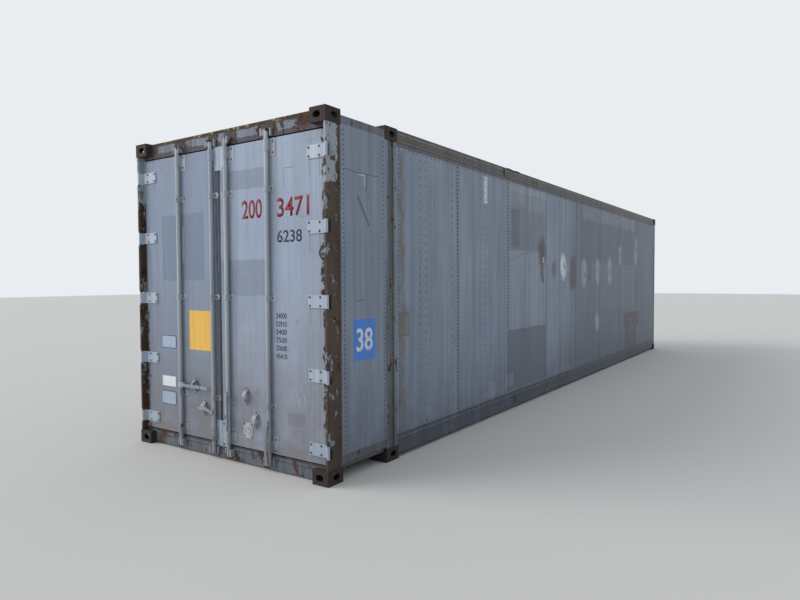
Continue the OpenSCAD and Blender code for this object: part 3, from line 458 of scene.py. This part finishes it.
roof_paint = weathered("chalked paint on rolled aluminium roof sheet", "#8a949e", "#9ba3a8", "#5b5a55",
                       runs=0.2, grime=0.0, spots=0.3, roughness=0.6,
                       moss=[("#6d7048", 0.5, [steel_mark(0, 11060, -1240, 1240, 2870, 2900)])])
RAIL_JOINTS = [1225, 2165, 2550, 2672, 3277, 3754, 4390, 5600, 6830, 8060, 9290, 10500]
rail_paint = weathered("weathered paint on extruded aluminium rail", "#595a5f", "#6c665f", "#353435",
                       runs=0.7, grime=0.0, rust=0.04, spots=0.3, roughness=0.5,
                       lines=[("#40362f", 0.75, [side_mark(s - 7, s + 7, 2740, 2900)
                                                 for s in RAIL_JOINTS]),
                              # the pale band is a painted highlight on the rail's upper ridge; the dark
                              # lines below it and along the top are painted shade in the rail's grooves
                              # and at its top edge
                              ("#7d776e", 0.5, [side_mark(940, 11060, 2850, 2876)]),
                              ("#28282b", 0.85, [side_mark(940, 11000, z, z + 9)
                                                 for z in (2776, 2806, 2840)]),
                              ("#20242a", 0.9, [side_mark(900, 11060, 2882, 2900)])],
                       moss=[("#52563c", 0.50, [side_mark(940, 1361, 2740, 2880)]),
                             ("#4f523a", 0.56, [side_mark(1361, 11060, 2845, 2884)])])
low_rail_paint = weathered("weathered paint on extruded aluminium bottom rail",
                           "#4e5561", "#606773", "#33343a",
                           runs=0.7, grime=0.5, rust=0.03, spots=0.4, roughness=0.5,
                           # the pale line is a painted highlight on the bottom rail's ridge, the dark
                           # line lower down is painted shade in its groove, and the near black rectangle
                           # is painted shade where the rail has an opening
                           lines=[("#7c848f", 0.6, [side_mark(940, 11000, 168, 186)]),
                                  ("#2a2c31", 0.8, [side_mark(940, 11000, 120, 125)]),
                                  ("#1a1b1d", 0.95, [side_mark(3390, 3510, 60, 168)])])

# %% [markdown]
# The end frames are welded from mild steel plate, and here most of the paint has gone.
# What is left peels in islands, and the rest is a hard brown crust of rust. The middle
# posts, and the rails between them and the doors, have kept more of their grey.

# %% Steel frames
POST_IN, POST_OUT = 1160, 1225
rear_right, rear_left = (POST_IN, POST_OUT), (-POST_IN, -POST_OUT)
post_steel = weathered(
    "peeling paint on rolled mild steel", "#45382f", "#554840", "#271f1c",
    runs=0.6, grime=0.4, rust=0.3, rust_size=5.0, spots=0.6, bump=0.6, roughness=0.75,
    islands_and_highlights=[
        ("#959da3", 0.41, [steel_mark(0, 130, a, b, 2330, 2900) for a, b in (rear_right, rear_left)]),
        ("#7d858b", 0.53, [steel_mark(0, 130, a, b, 137, 2330) for a, b in (rear_right, rear_left)]),
        # the pale strip along each rear post's front edge is a painted highlight of the lit edge, laid
        # over the old paint
        ("#b0b8bf", 0.36, [steel_mark(0, 12, side * 1163, side * 1173, 137, 2745) for side in (1, -1)]),
    ],
    rust_patches=[steel_mark(-5, 130, side * 1150, side * 1200, 140, 720) for side in (1, -1)],
    moss=[("#6b6d45", 0.5, [steel_mark(60, 130, side * 1196, side * 1225, 150, 2700)
                            for side in (1, -1)])])
mid_steel = weathered(
    "mottled paint on rolled mild steel", "#686e76", "#787d84", "#3d3a39",
    runs=0.7, grime=0.7, rust=0.14, rust_size=6.0, spots=0.6, bump=0.5, roughness=0.7,
    patches=[("#868e97", 0.8, [side_mark(772, 800, 137, 2780), side_mark(905, 936, 137, 2780)]),
             ("#4a4540", 0.5, [side_mark(812, 884, 137, 2780)])],
    moss=[("#555843", 0.52, [side_mark(795, 900, 1500, 2780)])])
header_steel = weathered(
    "rusted paint on a pressed mild steel header", "#383334", "#443f3f", "#221d1c",
    runs=0.5, grime=0.0, rust=0.16, rust_size=8.0, spots=0.6, bump=0.5, roughness=0.7,
    patches=[
        ("#7d8998", 0.9, [steel_mark(0, 80, *across_and_up) for across_and_up in (
            (172, 449, 2792, 2856), (638, 878, 2790, 2850), (-70, 20, 2790, 2862),
            (-560, -210, 2792, 2858), (-940, -690, 2792, 2858))]),
        # the dark grey band along the header's lower edge is painted shade of its recessed lower part
        ("#514c53", 0.9, [steel_mark(0, 80, -1160, 1160, 2733, 2786)]),
        ("#2c211c", 0.9, [steel_mark(-5, 200, -1160, 1160, 2862, 2900)]),
    ],
    rust_patches=[steel_mark(-5, 200, -1160, 1160, 2862, 2884), steel_mark(0, 80, 890, 1010, 2790, 2880),
                  steel_mark(0, 80, 400, 470, 2790, 2860), steel_mark(0, 80, 610, 660, 2790, 2860),
                  steel_mark(0, 80, 150, 190, 2790, 2860)],
    moss=[("#8f8d3e", 0.40, [steel_mark(-5, 200, a, b, 2872, 2906) for a, b in (
        (-900, -640), (-420, -130), (40, 330), (560, 900))]),
          ("#6f6f3c", 0.46, [steel_mark(-5, 200, -1160, 1160, 2878, 2906)])])
sill_steel = weathered(
    "rusted paint on a pressed mild steel sill", "#5f6872", "#6e7781", "#352f2e",
    runs=0.8, grime=0.3, rust=0.24, rust_size=7.0, spots=0.7, bump=0.5, roughness=0.7,
    # the dark line along the top of the sill is painted shade of the gap below the doors; a second dark
    # line runs lower on the sill
    lines=[("#241f1d", 0.85, [steel_mark(-5, 120, -1200, 1200, 124, 146),
                              steel_mark(-5, 120, -1200, 1200, 92, 100)])])
frame_steel = weathered(
    "rusted paint on pressed mild steel", "#6c737a", "#7e8488", "#403c39",
    runs=0.6, grime=0.7, rust=0.2, rust_size=6.0, spots=0.6, bump=0.5, roughness=0.7)
keeper_paint = weathered(
    "worn enamel on forged keepers", "#8d959c", "#9ba2a7", "#4b4643",
    runs=0.5, grime=0.3, rust=0.17, rust_size=14.0, spots=0.7, bump=0.5, roughness=0.6)
cast_steel = weathered("rust on cast steel", "#2e2829", "#3a3231", "#1b1818",
                       runs=0.5, grime=0.4, rust=0.2, rust_size=12.0, spots=0.7, bump=0.8, roughness=0.8)
cross_steel = weathered("old tar paint on rolled steel channel", "#3a3c40", "#47494c", "#2b2a29",
                        rust=0.3, spots=0.5, roughness=0.8)

# %% [markdown]
# The lock gear is forged and pressed steel, painted with the doors. Hands and rain have
# worn it, and it has a little more shine than the door behind it.

# %% Lock gear
bar_paint = weathered("worn enamel on steel tube", "#a9b0b7", "#bac1c7", "#66686a",
                      runs=0.6, grime=0.7, grime_top=1.4, rust=0.0, spots=0.35, roughness=0.48,
                      rust_patches=[steel_mark(-10, 60, -700, 700, 2790, 2870)])
gear_paint = weathered("worn enamel on pressed steel fittings", "#9eacbf", "#b1bdcb", "#63666c",
                       runs=0.4, grime=0.3, rust=0.0, spots=0.3, bump=0.4, roughness=0.5)
bracket_paint = weathered("chipped enamel on pressed steel brackets", "#a0a8b1", "#b2bac2", "#605f61",
                          runs=0.6, grime=0.8, grime_top=1.6, rust=0.03, spots=0.5, bump=0.4,
                          roughness=0.5)
handle_paint = weathered("worn zinc coat on forged steel", "#858b93", "#9aa0a8", "#4a494b",
                         runs=0.6, grime=0.4, rust=0.06, spots=0.5, bump=0.4, roughness=0.45)
bolt_paint = weathered("greasy dirt on painted bolt heads", "#565d67", "#656c76", "#37393e",
                       runs=0.4, grime=0.2, rust=0.04, spots=0.4, bump=0.3, roughness=0.55)
rubber = weathered("aged black rubber", "#25272a", "#33363a", "#4b4c4e", runs=0.3, grime=0.3,
                   spots=0.0, bump=0.15, roughness=0.8)
ply = weathered("worn hardwood plywood", "#7a6048", "#8b6f54", "#4a3b30", runs=0.2, grime=0.0,
                spots=0.0, bump=0.2, roughness=0.7)

# %% [markdown]
# A CAD node keeps its mesh, and only its material changes. Each node takes the finish of
# the first entry whose text is in its name, so the narrower entries come first.

# %% Finishes for the frame's pieces
FINISH_OF = [
    ("castings", cast_steel), ("rear_posts", post_steel), ("mid_posts", mid_steel),
    ("hinge_lugs", post_steel), ("door_header", header_steel), ("door_sill", sill_steel),
    ("cam_keepers", keeper_paint), ("overhang_rails", mid_steel), ("crossbeams", frame_steel),
    ("front_posts", frame_steel), ("front_header", frame_steel), ("front_sill", frame_steel),
    ("bottom_rails", low_rail_paint), ("_rails", rail_paint), ("side_skin", side_paint),
    ("front_skin", side_paint), ("wall_posts", side_paint), ("roof", roof_paint),
    ("floor", ply), ("cross_members", cross_steel), ("door_panel", door_paint),
    ("gasket", rubber), ("lock_bar", bar_paint), ("handle_left", handle_paint),
    ("handle_right", handle_paint), ("hasps", bracket_paint), ("bar_brackets", bracket_paint),
    ("left_", gear_paint), ("right_", gear_paint),
]
for name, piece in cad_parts.items():
    finish = next(f for part, f in FINISH_OF if part in name)
    piece.data.materials.clear()
    piece.data.materials.append(finish)
print(len(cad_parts), "pieces painted")

# %% [markdown]
# Thousands of rivets hold the sheets. Each is the same small head, so a Geometry Nodes
# tree sets one head on every point of a cloud of points and turns it to face outwards.
# The same tree makes the bolts of the lock gear, with other sizes and twelve sides.

# %% A tree that sets heads on points
def heads_tree():
    tree = bpy.data.node_groups.new("heads on points", "GeometryNodeTree")
    names = {}

    def socket(name, kind, direction="INPUT", value=None):
        item = tree.interface.new_socket(name=name, in_out=direction, socket_type=kind)
        if value is not None:
            item.default_value = value
        names[name] = item.identifier

    socket("Geometry", "NodeSocketGeometry")
    socket("Geometry", "NodeSocketGeometry", "OUTPUT")
    socket("Head radius", "NodeSocketFloat", value=0.007)
    socket("Crown", "NodeSocketFloat", value=0.6)
    socket("Head height", "NodeSocketFloat", value=0.003)
    socket("Sides", "NodeSocketInt", value=8)
    socket("Facing", "NodeSocketVector", value=(0, -1, 0))
    socket("Seed", "NodeSocketInt", value=1)
    socket("Finish", "NodeSocketMaterial")
    given = add(tree, "NodeGroupInput").outputs
    crown = add(tree, "ShaderNodeMath", {0: given["Head radius"], 1: given["Crown"]},
                operation="MULTIPLY")
    head = add(tree, "GeometryNodeMeshCone", {"Vertices": given["Sides"], "Radius Top": crown.outputs[0],
                                              "Radius Bottom": given["Head radius"],
                                              "Depth": given["Head height"]})
    aim = add(tree, "FunctionNodeAlignEulerToVector", {"Vector": given["Facing"]}, axis="Z")
    spin = add(tree, "FunctionNodeRandomValue", {"Seed": given["Seed"]}, data_type="FLOAT_VECTOR")
    spin.inputs[0].default_value = (0, 0, 0)
    spin.inputs[1].default_value = (0, 0, math.tau)
    turned = add(tree, "FunctionNodeRotateEuler", {"Rotation": aim.outputs[0],
                                                   "Rotate By": spin.outputs[0]}, space="LOCAL")
    set_on = add(tree, "GeometryNodeInstanceOnPoints", {"Points": given["Geometry"],
                                                        "Instance": head.outputs["Mesh"],
                                                        "Rotation": turned.outputs[0]})
    real = add(tree, "GeometryNodeRealizeInstances", {0: set_on.outputs[0]})
    painted = add(tree, "GeometryNodeSetMaterial", {"Geometry": real.outputs[0],
                                                    "Material": given["Finish"]})
    add(tree, "NodeGroupOutput", {0: painted.outputs[0]})
    return tree, names


HEADS, HEAD_SOCKETS = heads_tree()


def new_piece(name, mesh, body):
    piece = bpy.data.objects.new(name, mesh)
    bpy.context.scene.collection.objects.link(piece)
    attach(piece, body)
    return piece


def heads(name, points, facing, body, finish, radius, height, crown=0.6, sides=8, seed=1):
    cloud = bpy.data.meshes.new(name)
    cloud.from_pydata(points, [], [])
    holder = bpy.data.objects.new(name + "_points", cloud)
    bpy.context.scene.collection.objects.link(holder)
    maker = holder.modifiers.new("heads", "NODES")
    maker.node_group = HEADS
    for key, value in (("Head radius", radius), ("Crown", crown), ("Head height", height),
                       ("Sides", sides), ("Facing", facing), ("Seed", seed), ("Finish", finish)):
        maker[HEAD_SOCKETS[key]] = value
    bpy.context.view_layer.update()
    made = holder.evaluated_get(bpy.context.evaluated_depsgraph_get())
    mesh = bpy.data.meshes.new_from_object(made)
    bpy.data.objects.remove(holder)
    print(name, len(points), "heads,", len(mesh.polygons), "faces")
    return new_piece(name, mesh, body)


# %% [markdown]
# The rivet lines follow the posts behind the sheets: two lines to a post, and a closer
# line where two sheets meet. Lines along the rails close the top and the bottom.

# %% Rivets of the sides
FIRST_POST, POST_PITCH, LINE = 1360, 613.5, 55
POSTS = [FIRST_POST + POST_PITCH * i for i in range(15)]
SEAMS = [FIRST_POST + POST_PITCH + LINE + 2 * POST_PITCH * i for i in range(7)]
WIDE, CLOSE = 76, 38  # rivet pitches
SHEETS_START, SHEETS_END = 980, 10900
SHEETS_LOW, SHEETS_HIGH = 250, 2740
OVERHANG_LINES = (214, 744, 966)
SIDE_RIVET = {"radius": 0.0085, "height": 0.0035, "crown": 0.5}
rivet_places = []
for post in POSTS:
    for line in (post - LINE, post + LINE):
        if any(abs(line - seam) < 5 for seam in SEAMS):
            for shift in (-12, 12):
                rivet_places += [(line + shift, z) for z in range(SHEETS_LOW, SHEETS_HIGH, CLOSE)]
        else:
            rivet_places += [(line, z) for z in range(SHEETS_LOW, SHEETS_HIGH, WIDE)]
rivet_places += [(s, z) for s in range(SHEETS_START, SHEETS_END, WIDE) for z in (233, 2732)]
rivet_places += [(s, 2758) for s in range(SHEETS_START, SHEETS_END, 50)]
rivet_places += [(s, z) for s in OVERHANG_LINES
                 for z in range(SHEETS_LOW - 10, SHEETS_HIGH + 10, CLOSE)]
for side, facing in ((1, (0, -1, 0)), (-1, (0, 1, 0))):
    points = [at(s, side * SHEET, z) for s, z in rivet_places]
    heads("side_rivets_" + ("right" if side > 0 else "left"), points, facing, "container",
          rivet_paint, **SIDE_RIVET, seed=3)

# %% Rivets of the closed end and the roof
FRONT_FACE = LENGTH * 1000 - 28
ROOF_FACE = HEIGHT * 1000 - 8
FRONT_POST_PITCH = 380
front_points = [at(FRONT_FACE, k * FRONT_POST_PITCH + line, z) for k in range(-2, 3)
                for line in (-LINE, LINE) for z in range(260, 2760, WIDE)]
heads("front_rivets", front_points, (1, 0, 0), "container", rivet_paint, **SIDE_RIVET, seed=4)
roof_points = [at(s, u, ROOF_FACE) for s in POSTS for u in range(-1140, 1150, WIDE)]
heads("roof_rivets", roof_points, (0, 0, 1), "container", roof_paint,
      radius=0.0075, height=0.003, crown=0.5, seed=5)

# %% [markdown]
# The fittings on the doors are bolted through. Coach bolts with domed heads hold the
# hinge blades in fours, and single bolts hold the brackets and the hasps.

# %% Bolts of the doors
LEFT_OUTER, LEFT_INNER, RIGHT_INNER, RIGHT_OUTER = -620, -150, 45, 550  # the lock bars
GUIDES = (540, 1435, 2330)
END_BRACKETS = (178, 270, 2620, 2712)
GUIDE_BOLT, END_BOLT = 40, 56  # from the bar's axis to the bolt
BLADE_FRONT, BRACKET_FRONT, PLATE_FRONT = 47, 53, 52
DOOR_BOLT = {"radius": 0.0115, "height": 0.006, "crown": 0.55, "sides": 12}
right_bolts = [(BLADE_FRONT, u, z + dz) for z in HINGES for dz in (-34, 34) for u in (1002, 1110)]
left_bolts = [(s, -u, z) for s, u, z in right_bolts]
bars = [(RIGHT_INNER, right_bolts), (RIGHT_OUTER, right_bolts), (LEFT_OUTER, left_bolts),
        (LEFT_INNER, left_bolts)]
for bar, bolts in bars:
    bolts += [(BRACKET_FRONT, bar + GUIDE_BOLT, z) for z in GUIDES]
for bar, bolts in bars[:3]:  # the last one's end straps sit on plates and have no bolts
    bolts += [(BRACKET_FRONT, bar + END_BOLT, z) for z in END_BRACKETS]
left_bolts += [(PLATE_FRONT, u, z) for u, z in ((-143, 138), (-145, 318), (-137, 2565), (-140, 2731))]
right_bolts += [(PLATE_FRONT, u, z) for u, z in ((-40, 138), (-40, 318), (-7, 2560), (-7, 2731))]
HASPS = ((-425, 620, left_bolts), (-296, 435, left_bolts), (258, 595, right_bolts),
         (375, 400, right_bolts))
for u, z, bolts in HASPS:
    bolts += [(PLATE_FRONT, u, z - 65), (PLATE_FRONT, u, z + 65)]
for body, bolts, seed in (("right_door", right_bolts, 6), ("left_door", left_bolts, 7)):
    heads(body + "_bolts", [at(*p) for p in bolts], (-1, 0, 0), body, bolt_paint,
          **DOOR_BOLT, seed=seed)

# %% [markdown]
# Signs and blanked plates lie on the doors. Each is a thin plate with rounded corners,
# made by a small function: a rounded outline, given a thickness. A sign of one colour
# still shows weather, so it takes the same recipe with its own paint.

# %% Plates on the doors
def piece_from(shape, name, finish, body):
    bmesh.ops.recalc_face_normals(shape, faces=shape.faces)
    mesh = bpy.data.meshes.new(name)
    shape.to_mesh(mesh)
    shape.free()
    mesh.materials.append(finish)
    return new_piece(name, mesh, body)


def rounded_plate(name, u_a, u_b, z_a, z_b, front, thick, corner, finish, body):
    shape = bmesh.new()
    rim = []
    for cu, cz, start in ((u_b - corner, z_b - corner, 0), (u_a + corner, z_b - corner, 90),
                          (u_a + corner, z_a + corner, 180), (u_b - corner, z_a + corner, 270)):
        for step in range(6):
            angle = math.radians(start + 18 * step)
            rim.append(shape.verts.new(at(front, cu + corner * math.cos(angle),
                                          cz + corner * math.sin(angle))))
    face = shape.faces.new(rim)
    grown = bmesh.ops.extrude_face_region(shape, geom=[face])
    moved = [v for v in grown["geom"] if isinstance(v, bmesh.types.BMVert)]
    bmesh.ops.translate(shape, verts=moved, vec=(thick / 1000, 0, 0))
    return piece_from(shape, name, finish, body)


yellow_enamel = weathered("yellow vinyl film, faded", "#e0a838", "#e6b654", "#8d7347",
                          runs=0.3, grime=0.2, spots=0.1, bump=0.1, roughness=0.5)
white_enamel = weathered("white printed film", "#d9dde2", "#e3e6e9", "#8f9296", runs=0.3, grime=0.2,
                         spots=0.1, bump=0.1, roughness=0.5)
blank_plate = weathered("blue grey painted plate", "#96a8c0", "#a6b5ca", "#6c747e", runs=0.4, grime=0.2,
                        spots=0.2, bump=0.2, roughness=0.5)
plate_edge = weathered("dark grey sealant", "#4c5361", "#596070", "#3a3d43", runs=0.3, grime=0.2,
                       spots=0.0, bump=0.3, roughness=0.8)
rounded_plate("yellow_panel", -508, -208, 950, 1310, 55.2, 0.9, 4, yellow_enamel, "left_door")
rounded_plate("white_label", -932, -728, 578, 675, 55.4, 0.7, 4, white_enamel, "left_door")
for name, u_a, u_b, z_a, z_b in (("upper", -926, -714, 948, 1058), ("lower", -942, -728, 408, 525)):
    rounded_plate(name + "_blank_plate_bed", u_a - 8, u_b + 8, z_a - 8, z_b + 8, 55.4, 0.7, 24,
                  plate_edge, "left_door")
    rounded_plate(name + "_blank_plate", u_a, u_b, z_a, z_b, 53.6, 1.8, 18, blank_plate, "left_door")
print("plates on the left door")

# %% [markdown]
# A square plate low on the right door once held something. It has a bolt in each corner
# and a round ring pressed into its middle, so it is built as a plate with a torus on it.

# %% The square plate
worn_plate = weathered("chipped white enamel on steel plate", "#b0b4b8", "#c0c4c7", "#5f5a55", runs=0.5,
                       grime=0.6, rust=0.06, rust_size=14.0, spots=0.6, bump=0.3, roughness=0.55)
rounded_plate("square_plate", 212, 327, 236, 368, 52.0, 4.0, 8, worn_plate, "right_door")
heads("square_plate_bolts", [at(PLATE_FRONT, u, z) for u in (228, 315) for z in (252, 355)], (-1, 0, 0),
      "right_door", bolt_paint, radius=0.009, height=0.005, crown=0.55, sides=12, seed=8)


def ring(name, s, u, z, radius, tube, finish, body):
    shape = bmesh.new()
    around, across = 36, 8
    loops = []
    for i in range(around):
        a = math.tau * i / around
        loop = []
        for j in range(across):
            b = math.tau * j / across
            reach = radius + tube * math.cos(b)
            loop.append(shape.verts.new(at(s - tube * math.sin(b), u + reach * math.cos(a),
                                           z + reach * math.sin(a))))
        loops.append(loop)
    for i in range(around):
        for j in range(across):
            n, m = (i + 1) % around, (j + 1) % across
            shape.faces.new((loops[i][j], loops[n][j], loops[n][m], loops[i][m]))
    return piece_from(shape, name, finish, body)


ring("square_plate_ring", 51.8, 270, 302, 30, 4, worn_plate, "right_door")

# %% [markdown]
# Years of paint have filled the seam round each door's panel, so a bead of painted sealant
# lies in it, flush with the door. It is one closed frame with a rectangular section.

# %% Sealant in the door seams
SEAM_RIM, SEAM_WIDTH = 62, 8
BEAD_FRONT, BEAD_BACK = DOOR_FACE + 0.3, DOOR_FACE + 3.8
PLAY = 0.2  # between the bead and the walls of the seam


def sealant_frame(name, u_a, u_b, z_a, z_b, width, front, back, finish, body):
    shape = bmesh.new()
    rings = []
    for s, inset in ((front, 0), (front, width), (back, width), (back, 0)):
        rings.append([shape.verts.new(at(s, u, z)) for u, z in (
            (u_a + inset, z_a + inset), (u_b - inset, z_a + inset),
            (u_b - inset, z_b - inset), (u_a + inset, z_b - inset))])
    for i in range(4):
        for j in range(4):
            here, after = rings[i], rings[(i + 1) % 4]
            shape.faces.new((here[j], here[(j + 1) % 4], after[(j + 1) % 4], after[j]))
    return piece_from(shape, name, finish, body)


for door in ("left", "right"):
    low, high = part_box(door + "_door_panel")
    u_a, u_b = -high[1] * 1000 + SEAM_RIM, -low[1] * 1000 - SEAM_RIM
    z_a, z_b = low[2] * 1000 + SEAM_RIM, high[2] * 1000 - SEAM_RIM
    sealant_frame(door + "_seam_sealant", u_a + PLAY, u_b - PLAY, z_a + PLAY, z_b - PLAY,
                  SEAM_WIDTH - 2 * PLAY, BEAD_FRONT, BEAD_BACK, door_paint, door + "_door")
    print(door, "seam filled from u", round(u_a), "to", round(u_b))

# %% [markdown]
# A lip of the right door's gasket has torn away, and a bent strip of sheet lies on the
# roof's edge. Both are ribbons: a flat section carried along a few points.

# %% Torn gasket and bent strip
def ribbon(name, points, wide, thick, finish, body):
    shape = bmesh.new()
    sections = []
    for point in points:
        sections.append([shape.verts.new(Vector(point) + a * Vector(wide) / 2 + b * Vector(thick) / 2)
                         for a, b in ((-1, -1), (1, -1), (1, 1), (-1, 1))])
    for here, after in zip(sections, sections[1:]):
        for j in range(4):
            shape.faces.new((here[j], here[(j + 1) % 4], after[(j + 1) % 4], after[j]))
    shape.faces.new(sections[0])
    shape.faces.new(sections[-1][::-1])
    return piece_from(shape, name, finish, body)


torn = [at(44 - 16 * math.sin(math.pi * i / 9), 1150 - 22 * math.sin(math.pi * i / 9), 1850 - 13 * i)
        for i in range(10)]
ribbon("torn_gasket_lip", torn, (0, 0.016, 0), (0.003, 0, 0), rubber, "right_door")
bent = [at(3210 + 34 * i, 1209, 2885 + 3 * math.sin(0.9 * i)) for i in range(12)]
ribbon("bent_roof_strip", bent, (0, 0.018, 0), (0, 0, 0.014), cast_steel, "container")
print("two ribbons")

# %% [markdown]
# Plain digits stand where a container carries its numbers. Text starts as a curve, is
# turned into a mesh, and is then laid on the door: its own x runs across and its y up.

# %% Painted digits
FILM = 0.6  # the film's thickness


def digits(name, words, u_a, u_b, z_a, z_b, finish, body, on_side=False):
    curve = bpy.data.curves.new(name, "FONT")
    curve.body = words
    curve.offset = 0.016
    curve.fill_mode = "FRONT"
    holder = bpy.data.objects.new(name + "_curve", curve)
    bpy.context.scene.collection.objects.link(holder)
    bpy.context.view_layer.update()
    mesh = bpy.data.meshes.new_from_object(holder)
    bpy.data.objects.remove(holder)
    xs = [v.co.x for v in mesh.vertices]
    ys = [v.co.y for v in mesh.vertices]
    wide, tall = max(xs) - min(xs), max(ys) - min(ys)
    for v in mesh.vertices:
        across = u_a + (v.co.x - min(xs)) / wide * (u_b - u_a)
        rise = z_a + (v.co.y - min(ys)) / tall * (z_b - z_a)
        v.co = at(across, SHEET + FILM, rise) if on_side else at(DOOR_FACE - 0.5, across, rise)
    shape = bmesh.new()
    shape.from_mesh(mesh)
    bmesh.ops.remove_doubles(shape, verts=shape.verts, dist=0.00005)
    grown = bmesh.ops.extrude_face_region(shape, geom=shape.faces[:])
    moved = [v for v in grown["geom"] if isinstance(v, bmesh.types.BMVert)]
    inwards = Vector((0, 1, 0)) if on_side else Vector((1, 0, 0))
    bmesh.ops.translate(shape, verts=moved, vec=FILM / 1000 * inwards)
    bpy.data.meshes.remove(mesh)
    return piece_from(shape, name, finish, body)


red_letter = weathered("red cut vinyl", "#7c1626", "#8b2533", "#5e3a3e", runs=0.3, grime=0.1, spots=0.0)
dark_letter = weathered("dark blue cut vinyl", "#27304a", "#3a4358", "#4b4f57",
                        runs=0.3, grime=0.1, spots=0.0)
digits("upper_digits_left", "200", 226, 470, 2100, 2257, red_letter, "right_door")
digits("upper_digits_right", "3471", 646, 996, 2092, 2247, red_letter, "right_door")
digits("lower_digits", "6238", 642, 919, 1888, 1987, dark_letter, "right_door")
for row, words in enumerate(("24000", "52910", "3400", "7500", "20600", "45410")):
    top = 1316 - 66 * row
    digits("small_digits_" + str(row + 1), words, 620, 742, top - 44, top, dark_letter, "right_door")
white_letter = weathered("white cut vinyl", "#cfd6de", "#dbe1e7", "#8b939e",
                         runs=0.3, grime=0.1, spots=0.0)
digits("side_digits", "38", 362, 578, 1000, 1190, white_letter, "container", on_side=True)
print("digits laid on the right door and on the side")

# %% [markdown]
# The floor and the light are the studio. The floor is a plain pale sheet that keeps the
# shadow. In the photograph the doors and this side are both in the shade, and the light
# comes softly from the left, so a very broad lamp stands there: it darkens the right of
# each bar without a hard edge. An even sky fills the rest. The pale backdrop is
# seen only by the camera and in reflections, so it adds no light to the container.

# %% Studio
floor_mesh = bpy.data.meshes.new("studio_floor")
FLOOR = 60  # metres from the middle to each edge
floor_corners = [(-FLOOR, -FLOOR, 0), (FLOOR, -FLOOR, 0), (FLOOR, FLOOR, 0), (-FLOOR, FLOOR, 0)]
floor_mesh.from_pydata(floor_corners, [], [(0, 1, 2, 3)])
studio_floor = bpy.data.objects.new("studio_floor", floor_mesh)
bpy.context.scene.collection.objects.link(studio_floor)
floor_finish, tree, _ = new_finish("plain pale floor")
shader = add(tree, "ShaderNodeBsdfPrincipled", {"Base Color": linear("#c9c7c3"), "Roughness": 0.9})
add(tree, "ShaderNodeOutputMaterial", {0: shader.outputs[0]})
floor_mesh.materials.append(floor_finish)

sun = bpy.data.lights.new("soft sun", "SUN")
sun.energy = 2.1
sun.angle = math.radians(48)
sun.color = (1.0, 0.97, 0.93)
sun_object = bpy.data.objects.new("soft sun", sun)
sun_from = Vector((-0.55, 0.75, 0.45)).normalized()
sun_object.rotation_euler = sun_from.to_track_quat("Z", "Y").to_euler()
bpy.context.scene.collection.objects.link(sun_object)

world = bpy.data.worlds.new("even sky")
world.use_nodes = True
sky = world.node_tree
sky.nodes.clear()
light_path = add(sky, "ShaderNodeLightPath")
seen = most(sky, light_path.outputs["Is Camera Ray"], light_path.outputs["Is Glossy Ray"])
seen = most(sky, seen, light_path.outputs["Is Transmission Ray"])
even = add(sky, "ShaderNodeBackground", {"Color": linear("#dfe6ef"), "Strength": 0.85})
backdrop = add(sky, "ShaderNodeBackground", {"Color": linear("#e9edf1"), "Strength": 1.0})
chosen = add(sky, "ShaderNodeMixShader", {0: seen, 1: even.outputs[0], 2: backdrop.outputs[0]})
add(sky, "ShaderNodeOutputWorld", {0: chosen.outputs[0]})
bpy.context.scene.world = world
bpy.context.scene.view_settings.view_transform = "Standard"
print("studio ready")
